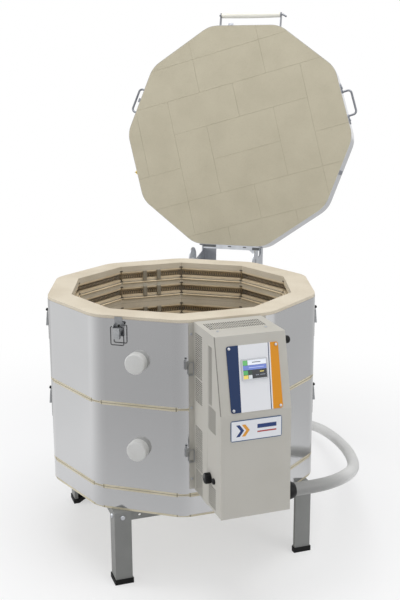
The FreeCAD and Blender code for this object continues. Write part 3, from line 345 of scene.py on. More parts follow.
def zinc_finish(name, pale, dull, rough=0.36, scale=70.0, shade_marks=()):
    """Bright plated steel with faint cloudy crystals, and painted shade wherever marks are
    given.
    """
    finish = Finish(name, metal=1.0)
    at = finish.place()
    flakes = finish.node("ShaderNodeTexVoronoi", {}, {"Vector": at, "Scale": scale}, "Distance")
    cloud = finish.noise(at, 24.0, 3.0)
    colour = finish.mix(flakes * 0.5 + cloud.between(0.3, 0.7) * 0.4, pale, dull)
    if shade_marks:
        x, y, z = finish.split(at)
        # Painted shade: each mark darkens the plate as a slot opening or as a cast shadow.
        for x0, x1, z0, z1 in shade_marks:
            dark = box_of(x, z, x0, x1, z0, z1) * (y < lip_front)
            colour = finish.mix(dark * 0.85, colour, tone(52, 52, 50))
    finish.set("Base Color", colour)
    finish.set("Roughness", rough + (cloud - 0.5) * 0.2)
    finish.bump(finish.noise(at, 600.0, 2.0), 0.00008, 0.5)
    return finish


def paint_finish(name, pale, deep, rough, grain_scale=900.0, depth=0.00012, shine=0.5):
    """Powder coat or moulded skin with a fine grain and slight handling marks."""
    finish = Finish(name, shine=shine)
    at = finish.place()
    grain = finish.noise(at, grain_scale, 2.0)
    marks = finish.noise(at, 7.0, 4.0)
    worn = marks.between(0.35, 0.75) * 0.8 + grain * 0.15
    finish.set("Base Color", finish.mix(worn, pale, deep))
    finish.set("Roughness", rough + (grain - 0.5) * 0.12 + (marks - 0.5) * 0.08)
    finish.bump(grain, depth, 0.6)
    return finish


def cord_finish():
    """Sheath of the cord, with painted shade greying it near the box."""
    finish = Finish("cord_sheath")
    at = finish.place()
    grain = finish.noise(at, 700.0, 2.0)
    marks = finish.noise(at, 7.0, 4.0)
    # Painted shade: the sheath is darker near the grip, as if in shadow there.
    unshaded_share = finish.split(at)[1].between(-0.335, -0.135)
    colour = finish.mix(unshaded_share, tone(142, 142, 140), tone(214, 214, 212))
    finish.set("Base Color", finish.mix(marks.between(0.35, 0.75) * 0.2, colour,
                                        tone(160, 160, 158)))
    finish.set("Roughness", 0.40 + (grain - 0.5) * 0.12)
    finish.bump(grain, 0.0001, 0.6)
    return finish


def box_finish():
    """Powder coat of the box, with painted shade on the walls of the top slots and a seam by the
    front.
    """
    finish = Finish("box_powder_coat")
    at = finish.place()
    grain = finish.noise(at, 900.0, 2.0)
    marks = finish.noise(at, 7.0, 4.0)
    colour = finish.mix(marks.between(0.35, 0.75) * 0.8 + grain * 0.15, tone(192, 189, 181),
                        tone(186, 183, 174))
    across, out, up = finish.split(finish.place(turn=(0, 0, box_turn)))
    depth = -skin - out
    # Painted shade on the walls of the top slots, darkened as if in shadow.
    edges = (across.size() < 0.078) * (depth > 0.028) * (depth < 0.084)
    edges = edges * (up > box_top - 0.0030) * (up < box_top - 0.0001)
    front = panel_out - (up - panel_foot) * math.tan(math.radians(panel_lean))
    seam = (across < box_sheet - box_half_width) * (depth > front - 0.004) * (up > panel_foot)
    colour = finish.mix(edges, colour, tone(34, 33, 31))
    colour = finish.mix(seam * 0.75, colour, tone(104, 102, 96))
    finish.set("Base Color", colour)
    finish.set("Roughness", 0.55 + (grain - 0.5) * 0.12 + (marks - 0.5) * 0.08)
    finish.bump(grain, 0.00012, 0.6)
    return finish


def oxide_finish(name):
    """Element wire, dark and scaly from the heat."""
    finish = Finish(name, metal=0.35)
    at = finish.place()
    scale = finish.noise(at, 260.0, 4.0, 0.65)
    patches = finish.noise(at, 20.0, 2.0)
    colour = finish.mix(scale.between(0.35, 0.7), tone(112, 107, 102), tone(158, 151, 144))
    colour = finish.mix(patches.between(0.5, 0.7) * 0.6, colour, tone(126, 116, 107))
    finish.set("Base Color", colour)
    finish.set("Roughness", 0.55 + (scale - 0.5) * 0.3)
    finish.bump(scale, 0.0002, 0.6)
    return finish


def panel_coordinates(finish, lean_degrees, out, height, shift=0.0):
    """Distances across and up a sloping face of the control box, in metres."""
    centre = on_box @ Vector((shift, -skin - out, height))
    turn = (math.radians(-lean_degrees), 0, box_turn)
    across, _, up = finish.split(finish.place(turn=turn, centre=centre))
    return across, up


def plate_art_finish():
    """Printed controller plate: white ground between a navy and an amber field."""
    finish = Finish("controller_plate_print", coat=0.1, coat_rough=0.15, shine=0.25)
    u, v = panel_coordinates(finish, panel_lean, panel_out, panel_foot, panel_shift)
    wave = finish.noise(finish.place(), 600.0, 2.0)
    navy = tone(30, 52, 92)
    amber = tone(224, 148, 30)
    across = u - v * 0.03
    thin_line = (across > 0.0340) * (across < 0.0362)
    colour = finish.mix(wave * 0.06, tone(236, 237, 240), tone(220, 221, 225))
    colour = finish.mix(across < -0.0400, colour, navy)
    colour = finish.mix(across > 0.0395, colour, amber)
    colour = finish.mix(thin_line, colour, navy)
    finish.set("Base Color", colour)
    finish.set("Roughness", 0.38 + (wave - 0.5) * 0.1)
    finish.bump(wave, 0.00003, 0.4)
    return finish


def screen_finish():
    """Lit touch screen with plain coloured fields in a grey frame."""
    finish = Finish("touch_screen_glass", rough=0.22, coat=0.6, coat_rough=0.05)
    u, v = panel_coordinates(finish, panel_lean, panel_out, panel_foot, panel_shift + 0.001)
    grain = finish.noise(finish.place(), 900.0, 2.0)

    def field(u0, u1, v0, v1):
        return box_of(u, v, u0, u1, v0, v1)

    lit = field(-0.0290, 0.0290, 0.0795, 0.1225)
    colour = finish.mix(grain * 0.2, tone(206, 208, 212), tone(190, 192, 196))
    colour = finish.mix(lit, colour, tone(30, 33, 40))
    fields = [((-0.0290, -0.0175, 0.1110, 0.1225), (96, 176, 100)),
              ((-0.0170, 0.0290, 0.1110, 0.1225), (226, 230, 238)),
              ((-0.0290, 0.0290, 0.1000, 0.1105), (104, 124, 196)),
              ((-0.0290, -0.0175, 0.0890, 0.0990), (72, 164, 92)),
              ((-0.0165, -0.0075, 0.0890, 0.0985), (34, 58, 48)),
              ((-0.0290, -0.0175, 0.0795, 0.0880), (228, 206, 96)),
              ((-0.0165, -0.0075, 0.0795, 0.0880), (206, 210, 214)),
              ((0.0120, 0.0220, 0.0935, 0.0955), (222, 204, 104)),
              ((0.0010, 0.0090, 0.0865, 0.0877), (150, 156, 170)),
              ((0.0120, 0.0250, 0.0865, 0.0877), (150, 156, 170)),
              ((-0.0060, 0.0150, 0.1160, 0.1178), (60, 66, 84)),
              ((-0.0150, 0.0230, 0.1045, 0.1056), (196, 206, 240))]
    for (u0, u1, v0, v1), swatch in fields:
        colour = finish.mix(field(u0, u1, v0, v1), colour, tone(*swatch))
    finish.set("Base Color", colour)
    finish.set("Emission Color", finish.mix(lit, (0, 0, 0, 1), colour))
    finish.set("Emission Strength", 0.25)
    finish.bump(grain * (1.0 - lit), 0.00004, 0.4)
    return finish


def badge_finish():
    """White enamelled plate with a blue line round it, two chevrons and two bars."""
    finish = Finish("badge_enamel", coat=0.15, coat_rough=0.12, shine=0.3)
    badge_lean, badge_out, badge_top = 0.73, 0.1892, 0.2612
    u, v = panel_coordinates(finish, badge_lean, badge_out, badge_top)
    grain = finish.noise(finish.place(), 500.0, 2.0)
    edge = 1.0 - box_of(u, v, -0.0622, 0.0622, -0.0490, -0.0020)
    up = v + 0.0255

    def chevron(start, width):
        lean = u - start + up.size() * 0.75
        return (lean > 0.0) * (lean < width) * (up.size() < 0.0145)

    navy = tone(38, 62, 116)
    upper_bar = box_of(u, up, 0.0020, 0.0500, 0.0015, 0.0115)
    lower_bar = box_of(u, up, 0.0020, 0.0500, -0.0085, -0.0050)
    colour = finish.mix(grain * 0.1, tone(234, 236, 240), tone(214, 217, 224))
    colour = finish.mix(edge, colour, tone(64, 92, 128))
    colour = finish.mix(chevron(-0.0400, 0.0090), colour, navy)
    colour = finish.mix(chevron(-0.0260, 0.0090), colour, tone(226, 158, 60))
    colour = finish.mix(upper_bar, colour, navy)
    colour = finish.mix(lower_bar, colour, tone(176, 60, 56))
    finish.set("Base Color", colour)
    finish.set("Roughness", 0.36 + (grain - 0.5) * 0.1)
    finish.bump(grain, 0.00003, 0.4)
    return finish


rim_brick = wall_brick_finish()
seam_brick = seam_finish()
slab_brick = laid_brick_finish("slab_firebrick", tone(190, 183, 162), tone(168, 160, 139),
                               tone(146, 137, 114))
holder_ceramic = plain_brick_finish("holder_ceramic", tone(238, 221, 190), tone(224, 206, 174),
                                    tone(182, 156, 116), 0.85)
clip_ceramic = plain_brick_finish("clip_ceramic", tone(150, 142, 126), tone(134, 126, 110),
                                  tone(104, 96, 82), 0.8)
strap_ceramic = plain_brick_finish("strap_ceramic", tone(206, 202, 188), tone(192, 188, 174),
                                   tone(160, 152, 136), 0.8)
plug_ceramic = plain_brick_finish("plug_ceramic", tone(222, 222, 220), tone(212, 212, 209),
                                  tone(198, 196, 192), 0.7)
bush_ceramic = plain_brick_finish("bush_ceramic", tone(232, 230, 222), tone(220, 216, 206),
                                  tone(190, 184, 170), 0.6)
jacket_steel = steel_finish("jacket_stainless", tone(204, 204, 205), tone(198, 199, 200), 0.12)
lid_steel = steel_finish("lid_band_stainless", tone(210, 211, 214), tone(198, 199, 203), 0.24,
                         (14, 14, 500))
bright_zinc = zinc_finish("bright_zinc", tone(206, 209, 214), tone(176, 179, 184))
# Painted shade on the hinge leaf: two slots, a shadow strip on the left plate and a shadow wedge
# on the right.
leaf_shade_marks = [(-0.004, 0.0075, 0.4712, 0.4748), (0.0465, 0.0575, 0.4708, 0.4744),
                 (-0.106, -0.044, 0.4688, 0.4790), (0.0780, 0.1200, 0.4650, 0.4735)]
leaf_zinc = zinc_finish("hinge_leaf_zinc", tone(206, 209, 214), tone(176, 179, 184),
                        shade_marks=leaf_shade_marks)
latch_zinc = zinc_finish("latch_zinc", tone(186, 188, 190), tone(150, 152, 154), 0.32, 160.0)
bail_steel = zinc_finish("bail_wire", tone(92, 92, 94), tone(62, 62, 64), 0.34, 240.0)
spring_steel = zinc_finish("spring_steel", tone(150, 150, 150), tone(112, 112, 112), 0.3, 200.0)
handle_steel = zinc_finish("handle_steel", tone(142, 144, 149), tone(110, 112, 118), 0.34, 120.0)
brass = zinc_finish("brass_screw", tone(214, 190, 96), tone(176, 148, 64), 0.3, 160.0)
box_paint = box_finish()
stand_paint = paint_finish("stand_grey_coat", tone(136, 137, 135), tone(126, 127, 125), 0.5)
black_plastic = paint_finish("black_moulding", tone(24, 24, 25), tone(17, 17, 18), 0.42, 700.0,
                             shine=0.2)
rubber = paint_finish("foot_rubber", tone(30, 30, 30), tone(20, 20, 20), 0.75, 500.0,
                      shine=0.2)
grip_ceramic = paint_finish("grip_ivory", tone(242, 240, 228), tone(238, 235, 222), 0.3, 500.0,
                            0.00005)
cord_skin = cord_finish()
bakelite = paint_finish("relay_moulding", tone(44, 46, 52), tone(34, 35, 40), 0.45, 600.0)
coil_paint = paint_finish("transformer_core", tone(92, 94, 98), tone(70, 72, 76), 0.5, 300.0)
blade_metal = zinc_finish("blade_nickel", tone(196, 196, 190), tone(170, 170, 164), 0.25, 300.0)
element_wire = oxide_finish("element_wire")
plate_print = plate_art_finish()
screen_glass = screen_finish()
badge_enamel = badge_finish()

coats = {rim_brick: ["lower_brick_ring", "upper_brick_ring"],
         slab_brick: ["lid_slab", "floor_slab"],
         holder_ceramic: ["element_holders"],
         clip_ceramic: ["groove_clips"],
         plug_ceramic: ["upper_peephole_plug", "lower_peephole_plug"],
         bush_ceramic: ["lead_bushes"],
         element_wire: ["heating_elements"],
         jacket_steel: ["lower_jacket", "upper_jacket", "floor_band"],
         lid_steel: ["lid_band"],
         bright_zinc: ["hinge_bracket", "hinge_rod", "lid_screws", "box_screws", "stand_bolts"],
         leaf_zinc: ["lid_hinge"],
         latch_zinc: ["latch_bases"] +
                     [name for name in nodes if name.endswith("_latch_lever")],
         bail_steel: [name for name in nodes if name.endswith("_latch_bail")],
         spring_steel: ["hinge_spring"],
         handle_steel: ["left_handle", "right_handle", "front_handle_bracket", "lid_keepers"],
         brass: ["lead_terminals", "lid_side_bracket"],
         box_paint: ["rear_box", "front_cover", "inner_panel"],
         stand_paint: ["stand_rails", "stand_legs"],
         black_plastic: ["power_switch", "power_knob", "fuse_cap", "access_cap", "cord_grip",
                         "supply_plug"],
         rubber: ["foot_caps"],
         grip_ceramic: ["front_handle_roller"],
         cord_skin: ["supply_cord"],
         bakelite: ["power_relays", "terminal_block"],
         coil_paint: ["transformer"],
         blade_metal: ["plug_blades"],
         plate_print: ["controller_plate"],
         screen_glass: ["touch_screen"],
         badge_enamel: ["badge_plate"]}


def dress_nodes():
    for finish, names in coats.items():
        for name in names:
            mesh = nodes[name].data
            mesh.materials.clear()
            mesh.materials.append(finish.material)


dress_nodes()


# Shaping helpers

def nothing_selected():
    if bpy.context.mode != "OBJECT":
        bpy.ops.object.mode_set(mode="OBJECT")
    bpy.ops.object.select_all(action="DESELECT")


def only(piece):
    nothing_selected()
    piece.select_set(True)
    bpy.context.view_layer.objects.active = piece


def settle(piece):
    """Put the place of a piece into its mesh and leave its object at the origin."""
    only(piece)
    bpy.ops.object.transform_apply(location=True, rotation=True, scale=True)
    return piece


def apply_all(piece):
    only(piece)
    for modifier in list(piece.modifiers):
        bpy.ops.object.modifier_apply(modifier=modifier.name)
    return piece


def copy_of(piece, matrix):
    twin = piece.copy()
    twin.data = piece.data.copy()
    bpy.context.scene.collection.objects.link(twin)
    twin.data.transform(matrix)
    return twin


def joined(pieces, name):
    nothing_selected()
    for piece in pieces:
        piece.select_set(True)
    bpy.context.view_layer.objects.active = pieces[0]
    bpy.ops.object.join()
    pieces[0].name = name
    pieces[0].data.name = name
    return pieces[0]


def drop_pattern(piece):
    bpy.data.objects.remove(piece)


def outward(piece):
    """Merge doubles and turn every face outwards."""
    only(piece)
    bpy.ops.object.mode_set(mode="EDIT")
    bpy.ops.mesh.select_all(action="SELECT")
    bpy.ops.mesh.remove_doubles(threshold=1e-6)
    bpy.ops.mesh.normals_make_consistent(inside=False)
    bpy.ops.object.mode_set(mode="OBJECT")
    return piece


def smooth(piece, degrees=35):
    only(piece)
    bpy.ops.object.shade_smooth_by_angle(angle=math.radians(degrees))
    return piece


def shown(piece, body, finish, stands_for=()):
    """Give a finished piece its coat and its body."""
    piece.data.materials.clear()
    piece.data.materials.append(finish.material)
    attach(piece, body)
    if stands_for:
        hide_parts(*stands_for)
    return piece


def bevelled(piece, width, segments=2, angle=30):
    rounding = piece.modifiers.new("edges", "BEVEL")
    rounding.width = width
    rounding.segments = segments
    rounding.limit_method = "ANGLE"
    rounding.angle_limit = math.radians(angle)
    return apply_all(piece)


def cube(size, place):
    nothing_selected()
    bpy.ops.mesh.primitive_cube_add(size=1, location=place, scale=size)
    return settle(bpy.context.object)


def rod(radius, length, place, axis="Z", sides=24):
    turn = {"X": (0, math.pi / 2, 0), "Y": (math.pi / 2, 0, 0), "Z": (0, 0, 0)}[axis]
    nothing_selected()
    bpy.ops.mesh.primitive_cylinder_add(vertices=sides, radius=radius, depth=length,
                                        location=place, rotation=turn)
    return settle(bpy.context.object)


# Supply cord

def supply_cord():
    points = [(0.392665, -0.334600, 0.0432), (0.446, -0.295, 0.042), (0.482, -0.238, 0.036),
              (0.496, -0.160, 0.018), (0.497, -0.066, -0.010), (0.488, 0.050, -0.045),
              (0.464, 0.190, -0.082), (0.428, 0.332, -0.115), (0.381, 0.472, -0.147),
              (0.326, 0.606, -0.177), (0.262, 0.732, -0.208), (0.172, 0.830, -0.236),
              (0.062, 0.880, -0.2463), (-0.054, 0.876, -0.2463), (-0.152, 0.824, -0.2463)]
    line = bpy.data.curves.new("cord_line", "CURVE")
    line.dimensions = "3D"
    line.resolution_u = 10
    line.bevel_depth = 0.0165
    line.bevel_resolution = 6
    line.use_fill_caps = True
    route = line.splines.new("NURBS")
    route.points.add(len(points) - 1)
    for place, point in zip(points, route.points):
        point.co = (*place, 1)
    route.order_u = 3
    route.use_endpoint_u = True
    cord = bpy.data.objects.new("cord_line", line)
    bpy.context.scene.collection.objects.link(cord)
    line.materials.append(cord_skin.material)
    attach(cord, "kiln")
    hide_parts("supply_cord")


supply_cord()


# Brick slabs of the lid and of the floor

brick = 0.1143
laid_bricks = [(-1, 1, -1, 0), (-1, 1, 0, 1), (1, 2, -1, 1), (-2, -1, -1, 1), (-2, 0, -2, -1),
               (0, 2, -2, -1), (-3, -2, -2, 0), (-4, -2, 0, 1), (-4, -3, -2, 0), (2, 3, -2, 0),
               (2, 4, 0, 1), (3, 4, -2, 0), (-4, -2, 1, 2), (-2, 0, 1, 2), (0, 2, 1, 2),
               (2, 4, 1, 2), (-3, -1, 2, 3), (-1, 1, 2, 3), (1, 3, 2, 3), (-3, -1, -3, -2),
               (-1, 1, -3, -2), (1, 3, -3, -2), (3, 4, -3, -2), (-4, -3, -3, -2),
               (-3, -1, -4, -3), (-1, 1, -4, -3), (1, 3, -4, -3)]


def slab_of_bricks(node, body, low, high, matrix, name):
    """Lay bricks side by side, trim them to the slab's outline and back them with cement."""
    spin = Matrix.Rotation(math.radians(brick_turn), 4, "Z")
    joint = 0.0002
    slide = 0.2 * brick
    bricks = []
    for count, (i0, i1, j0, j1) in enumerate(laid_bricks):
        size = ((i1 - i0) * brick - joint, (j1 - j0) * brick - joint, high - low)
        place = ((i0 + i1) / 2 * brick + slide, (j0 + j1 + 1) / 2 * brick, (low + high) / 2)
        piece = bevelled(cube(size, place), 0.0004, 1)
        piece.data.transform(spin)
        mark = piece.data.attributes.new("brick_tone", "FLOAT", "FACE")
        shade = (count * 37 % 17) / 16
        mark.data.foreach_set("value", [shade] * len(piece.data.polygons))
        bricks.append(piece)
    slab = joined(bricks, name)
    outline = copy_of(nodes[node], matrix.inverted())
    outline.parent = None
    outline.hide_render = False
    outward(outline)
    trim = slab.modifiers.new("trim", "BOOLEAN")
    trim.operation = "INTERSECT"
    trim.object = outline
    trim.solver = "EXACT"
    apply_all(slab)
    middle = Matrix.Translation((0, 0, (low + high) / 2))
    shrink = Matrix.Diagonal((0.999, 0.999, 0.97, 1))
    cement = copy_of(outline, middle @ shrink @ middle.inverted())
    drop_pattern(outline)
    slab = joined([slab, cement], name)
    slab.data.transform(matrix)
    return shown(slab, body, slab_brick, [node])


slab_of_bricks("lid_slab", "lid", lid_under, lid_top, on_lid, "lid_bricks")
slab_of_bricks("floor_slab", "kiln", -floor_brick, 0.0, Matrix.Identity(4), "floor_bricks")


# Wound pieces

def winding(radius, wire, pitch, turns, start, steps, sides):
    """Wire wound along X from a start on its axis."""
    nothing_selected()
    bpy.ops.mesh.primitive_circle_add(vertices=sides, radius=wire, location=(0, 0, radius),
                                      rotation=(math.pi / 2, 0, 0))
    coil = settle(bpy.context.object)
    screw = coil.modifiers.new("wind", "SCREW")
    screw.axis = "X"
    screw.angle = 2 * math.pi
    screw.screw_offset = pitch
    screw.iterations = turns
    screw.steps = steps
    screw.render_steps = steps
    screw.use_merge_vertices = False
    apply_all(coil)
    only(coil)
    bpy.ops.object.mode_set(mode="EDIT")
    bpy.ops.mesh.select_all(action="SELECT")
    bpy.ops.mesh.fill_holes(sides=sides)
    bpy.ops.mesh.normals_make_consistent(inside=False)
    bpy.ops.object.mode_set(mode="OBJECT")
    coil.data.transform(Matrix.Translation(start))
    return coil


def heating_coils():
    """Element coils in the holders: a run on each facet, parted by two leads at the box."""
    set_in = -0.308
    sunk = 0.0033
    reach = 0.0985
    lead_gap = 0.018
    radius, wire, pitch = 0.0052, 0.0008, 0.0058
    turns = int(2 * reach / pitch)
    short_turns = int((reach - lead_gap) / pitch)
    long_run = winding(radius, wire, pitch, turns, (-turns * pitch / 2, set_in, 0), 8, 4)
    short_run = winding(radius, wire, pitch, short_turns, (lead_gap, set_in, 0), 8, 4)
    lead = rod(0.0035, 0.094, (0.024, -0.353, 0), "Y", 12)
    runs = []
    for height in groove_heights:
        for count in range(side_count):
            place = on_facet(facet * count) @ Matrix.Translation((0, 0, height - sunk))
            if count == 1:
                for side in (1, -1):
                    mirror = Matrix.Diagonal((side, 1, 1, 1))
                    runs.append(copy_of(short_run, place @ mirror))
                    runs.append(copy_of(lead, place @ mirror))
            else:
                runs.append(copy_of(long_run, place))
    for pattern in (long_run, short_run, lead):
        drop_pattern(pattern)
    coils = outward(joined(runs, "heating_coils"))
    shown(smooth(coils, 60), "kiln", element_wire, ["heating_elements"])


def wound_spring():
    """Torsion spring on the hinge rod, with one leg down to the bracket."""
    start = -0.0800
    radius, wire, pitch, turns = 0.0125, 0.0019, 0.0040, 11
    coil = winding(radius, wire, pitch, turns, (start, hinge_y, hinge_z), 24, 8)
    top = Vector((start, hinge_y - 0.0085, hinge_z - 0.0095))
    foot = Vector((start, skin + 0.0052, hinge_z - 0.0620))
    along = foot - top
    leg = rod(wire, along.length, (0, 0, 0), "Z", 10)
    leg.data.transform(Matrix.Translation((top + foot) / 2)
                       @ along.to_track_quat("Z", "Y").to_matrix().to_4x4())
    spring = joined([coil, leg], "wound_spring")
    shown(smooth(spring, 50), "kiln", spring_steel, ["hinge_spring"])


heating_coils()
wound_spring()


# Brick edges, holder lips and groove stops

def ten_sided_band(apothem, low, high, thickness, rounding):
    """Flat band round the kiln, its outer face at the apothem, with rounded corners."""
    nothing_selected()
    bpy.ops.mesh.primitive_circle_add(vertices=side_count, radius=apothem / math.cos(half_turn),
                                      location=(0, 0, low), rotation=(0, 0, half_turn))
    band = settle(bpy.context.object)
    only(band)
    bpy.ops.object.mode_set(mode="EDIT")
    bpy.ops.mesh.select_all(action="SELECT")
    bpy.ops.mesh.bevel(offset=rounding * math.tan(half_turn), segments=8, affect="VERTICES")
    bpy.ops.mesh.select_all(action="SELECT")
    bpy.ops.mesh.extrude_region_move(TRANSFORM_OT_translate={"value": (0, 0, high - low)})
    bpy.ops.mesh.select_all(action="SELECT")
    bpy.ops.mesh.normals_make_consistent(inside=False)
    bpy.ops.object.mode_set(mode="OBJECT")
    wall = band.modifiers.new("wall", "SOLIDIFY")
    wall.thickness = thickness
    wall.offset = -1
    return outward(apply_all(band))


def brick_edges():
    """Brick that shows above and below each joint between the jackets, and under the band."""
    show = 0.0054
    proud = 0.00035
    bands = [ten_sided_band(skin + proud, z - low, z + high, 0.0012, 0.085)
             for z, low, high in ((ring_height, show, show), (0.0, show, show),
                                  (-floor_brick, 0.0, show))]
    shown(smooth(joined(bands, "brick_edges"), 30), "kiln", seam_brick)


def holder_lips():
    """Lower lip of each element holder, standing over the face of the bricks."""
    half = chamber * math.tan(half_turn) - 0.0045
    lip = bevelled(cube((2 * half, 0.0035, 0.0042), (0, -chamber + 0.00175, -0.0064)), 0.0012, 2)
    lips = []
    for height in groove_heights:
        foot = Matrix.Translation((0, 0, height - groove_height / 2))
        lips += [copy_of(lip, on_facet(facet * count) @ foot) for count in range(side_count)]
    drop_pattern(lip)
    shown(smooth(joined(lips, "holder_lips")), "kiln", holder_ceramic)


def groove_stops():
    """Ceramic stops in the grooves of the facet opposite the box, on pale straps."""
    width = 0.0118
    spread = 0.022
    on_far_wall = on_facet(6 * facet)
    stop = bevelled(cube((width, 0.0062, groove_height), (0, -chamber + 0.0034, 0)), 0.0006, 1)
    span = groove_drops[1] - groove_drops[0] - groove_height
    strap = cube((width * 0.9, 0.0022, span - 0.0115), (0, -chamber + 0.0011, 0))
    strap = bevelled(strap, 0.0005, 1)
    stops = []
    straps = []
    for level in range(4):
        for side in (-1, 1):
            for drop in groove_drops:
                place = Matrix.Translation((side * spread, 0, rim - course * level - drop))
                stops.append(copy_of(stop, on_far_wall @ place))
            middle = rim - course * level - sum(groove_drops) / 2 - 0.0058
            place = Matrix.Translation((side * spread, 0, middle))
            straps.append(copy_of(strap, on_far_wall @ place))
    drop_pattern(stop)
    drop_pattern(strap)
    shown(smooth(joined(stops, "groove_stops")), "kiln", clip_ceramic,
          ["groove_clips"])
    shown(smooth(joined(straps, "stop_straps")), "kiln", strap_ceramic)


brick_edges()
holder_lips()
groove_stops()


# Small fittings

def cross_screw(radius, height):
    """Rounded screw head with a cross recess, standing along Z from the origin."""
    head = bevelled(rod(radius, height, (0, 0, height / 2), "Z", 20), height * 0.45, 3, 60)
    recess = [cube((radius * 1.15, radius * 0.26, height), (0, 0, height * 0.95)),
              cube((radius * 0.26, radius * 1.15, height), (0, 0, height * 0.95))]
    for bar in recess:
        cut = head.modifiers.new("recess", "BOOLEAN")
        cut.operation = "DIFFERENCE"
        cut.object = bar
        cut.solver = "EXACT"
        apply_all(head)
        drop_pattern(bar)
    return head


def heads_on(pattern, places):
    """Copies of a screw head, each turned so that it stands along its own direction."""
    heads = []
    for place, direction in places:
        turn = Vector(direction).to_track_quat("Z", "Y").to_matrix().to_4x4()
        heads.append(copy_of(pattern, Matrix.Translation(place) @ turn))
    return heads


def turned_places(places, matrix):
    spin = matrix.to_3x3()
    return [(matrix @ Vector(place), spin @ Vector(direction)) for place, direction in places]


def screws():
    small = cross_screw(0.0035, 0.0024)
    flange_middle = box_half_width + 0.0065
    flange = [((side * flange_middle, -skin - 0.0012, z), (0, -1, 0))
              for side in (-1, 1) for z in (0.0452, 0.2337, 0.4222)]
    top_of_box = [((x, -skin - 0.104, box_top), (0, 0, 1)) for x in (-0.064, 0.057)]
    heads = heads_on(small, turned_places(flange + top_of_box, on_box))
    shown(smooth(joined(heads, "box_screw_heads")), "kiln", bright_zinc,
          ["box_screws"])
    lean = Matrix.Rotation(math.radians(-panel_lean), 4, "X")
    on_panel = on_box @ Matrix.Translation((0, -skin - panel_out, panel_foot)) @ lean
    middle, half_width, half_height = 0.08125, 0.0585, 0.0712
    plate = [((panel_shift + x * half_width, -0.0015, middle + z * half_height), (0, -1, 0))
             for x in (-1, 1) for z in (-1, 1)]
    heads = heads_on(small, turned_places(plate, on_panel))
    shown(smooth(joined(heads, "plate_screw_heads")), "kiln", bright_zinc)
    drop_pattern(small)
    face = lid_skin + 0.003
    large = cross_screw(0.004, 0.0025)
    back = [((x, face, z), (0, 1, 0)) for x in (-0.058, 0.008, 0.062) for z in (0.4756, 0.5016)]
    places = turned_places(back, on_lid)
    handle_height = (lid_under + lid_top) / 2
    feet = [((side * 0.0544, -face, handle_height), (0, -1, 0)) for side in (-1, 1)]
    for degrees in (-2 * facet, 2 * facet):
        places += turned_places(feet, on_lid @ on_facet(degrees))
    shown(smooth(joined(heads_on(large, places), "lid_screw_heads")), "lid", bright_zinc,
          ["lid_screws"])
    drop_pattern(large)


def rubber_tips():
    """Black rubber stops of the five latches, rounded at both ends."""
    drop = 0.075
    latches = [(0, -0.0394, rim - 0.030)]
    latches += [(sides * facet, 0, top - drop)
                for sides in (-2, 3) for top in (rim, ring_height)]
    pattern = bevelled(rod(0.0036, 0.0086, (0, -skin - 0.0159, 0.0097), "X", 20), 0.0012, 2, 60)
    tips = [copy_of(pattern, on_facet(degrees) @ Matrix.Translation((x, 0, z)))
            for degrees, x, z in latches]
    drop_pattern(pattern)
    shown(smooth(joined(tips, "latch_tips")), "kiln", rubber)


def side_knob():
    """Black domed button on the far side of the cover."""
    out, height = -skin - 0.128, rim - 0.033
    knob = rod(0.0095, 0.0195, (box_half_width + 0.0102, out, height), "X", 32)
    knob = bevelled(knob, 0.0062, 6, 60)
    collar = rod(0.0112, 0.0040, (box_half_width + 0.0022, out, height), "X", 32)
    collar = bevelled(collar, 0.0010, 2, 60)
    knob = joined([knob, collar], "side_knob")
    knob.data.transform(on_box)
    shown(smooth(knob), "kiln", black_plastic, ["access_cap"])


def knob_pointer():
    """White line let into the face of the power knob."""
    place = (-box_half_width - 0.0153, -skin - 0.116, 0.1012)
    line = bevelled(cube((0.0007, 0.0016, 0.0100), place), 0.0002, 1)
    line.data.transform(on_box)
    shown(line, "power_knob_body", plug_ceramic)


screws()
rubber_tips()
side_knob()
knob_pointer()


# Studio

def lamp(name, place, aim, size, power):
    light = bpy.data.lights.new(name, "AREA")
    light.shape = "DISK"
    light.size = size
    light.energy = power
    thing = bpy.data.objects.new(name, light)
    bpy.context.scene.collection.objects.link(thing)
    thing.location = place
    thing.rotation_euler = (Vector(aim) - Vector(place)).to_track_quat("-Z", "Y").to_euler()


def rays(tree, first, *others):
    """1 for rays of the named kinds."""
    path = tree.nodes.new("ShaderNodeLightPath")
    total = path.outputs[first]
    for name in others:
        add = tree.nodes.new("ShaderNodeMath")
        add.operation = "MAXIMUM"
        tree.links.new(total, add.inputs[0])
        tree.links.new(path.outputs[name], add.inputs[1])
        total = add.outputs[0]
    return total


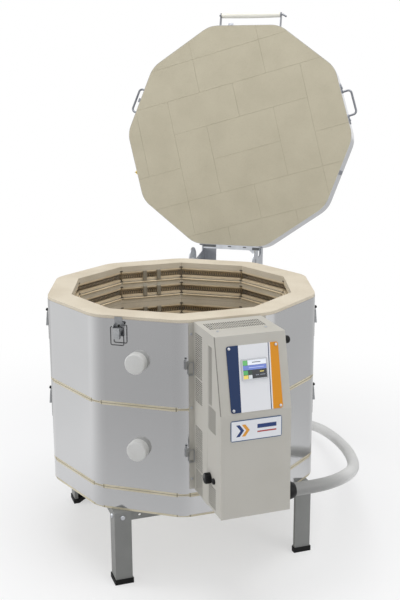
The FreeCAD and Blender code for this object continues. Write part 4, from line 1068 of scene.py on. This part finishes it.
def studio():
    """Even room light and a white floor that looks dimmer in the polished steel."""
    world = bpy.data.worlds.new("studio")
    bpy.context.scene.world = world
    world.use_nodes = True
    tree = world.node_tree
    room = tree.nodes["Background"]
    room.inputs["Color"].default_value = (0.97, 0.98, 1.0, 1)
    room.inputs["Strength"].default_value = 0.50
    white = tree.nodes.new("ShaderNodeBackground")
    white.inputs["Color"].default_value = (1, 1, 1, 1)
    choose = tree.nodes.new("ShaderNodeMixShader")
    seen = ("Is Camera Ray", "Is Glossy Ray", "Is Transmission Ray")
    tree.links.new(rays(tree, *seen), choose.inputs[0])
    tree.links.new(room.outputs[0], choose.inputs[1])
    tree.links.new(white.outputs[0], choose.inputs[2])
    tree.links.new(choose.outputs[0], tree.nodes["World Output"].inputs["Surface"])
    nothing_selected()
    bpy.ops.mesh.primitive_circle_add(vertices=64, radius=14, fill_type="NGON",
                                      location=(0, 0, stand_foot))
    ground = settle(bpy.context.object)
    ground.name = "studio_floor"
    finish = Finish("studio_floor", rough=0.9)
    x, y, _ = finish.split(finish.place(centre=(-0.05, 0.1, 0)))
    away = (x * x + y * y).power(0.5).between(0.35, 1.9)
    finish.set("Base Color", (0.93, 0.93, 0.935, 1))
    glow = finish.tree.nodes.new("ShaderNodeEmission")
    blend = finish.tree.nodes.new("ShaderNodeMixShader")
    share = (away * 0.5 + 0.5) * Value(finish, rays(finish.tree, *seen))
    mirrored = Value(finish, rays(finish.tree, "Is Glossy Ray"))
    facing = y * -1.0 / (x * x + y * y + 0.01).power(0.5)
    dim = facing.between(0.30, 1.16) * 0.48 + facing.between(0.36, 0.10) * 0.08
    dim = dim + facing.between(-0.12, -0.45) * 0.27
    shade = finish.mix(dim * mirrored, (1, 1, 1, 1), (0, 0, 0, 1))
    finish.tree.links.new(shade.socket, glow.inputs["Color"])
    finish.tree.links.new(share.socket, blend.inputs[0])
    finish.tree.links.new(finish.shader.outputs[0], blend.inputs[1])
    finish.tree.links.new(glow.outputs[0], blend.inputs[2])
    finish.tree.links.new(blend.outputs[0], finish.tree.nodes["Material Output"].inputs[0])
    ground.data.materials.append(finish.material)
    body_middle = (0, 0, 0.2)
    lamp("left_key", (-2.9, -0.75, 0.95), body_middle, 1.5, 26)
    lamp("top_fill", (0.2, -0.3, 3.4), body_middle, 2.6, 52)
    lamp("right_fill", (2.8, -1.0, 1.4), body_middle, 1.8, 14)


studio()
bpy.context.scene.view_settings.view_transform = "Standard"
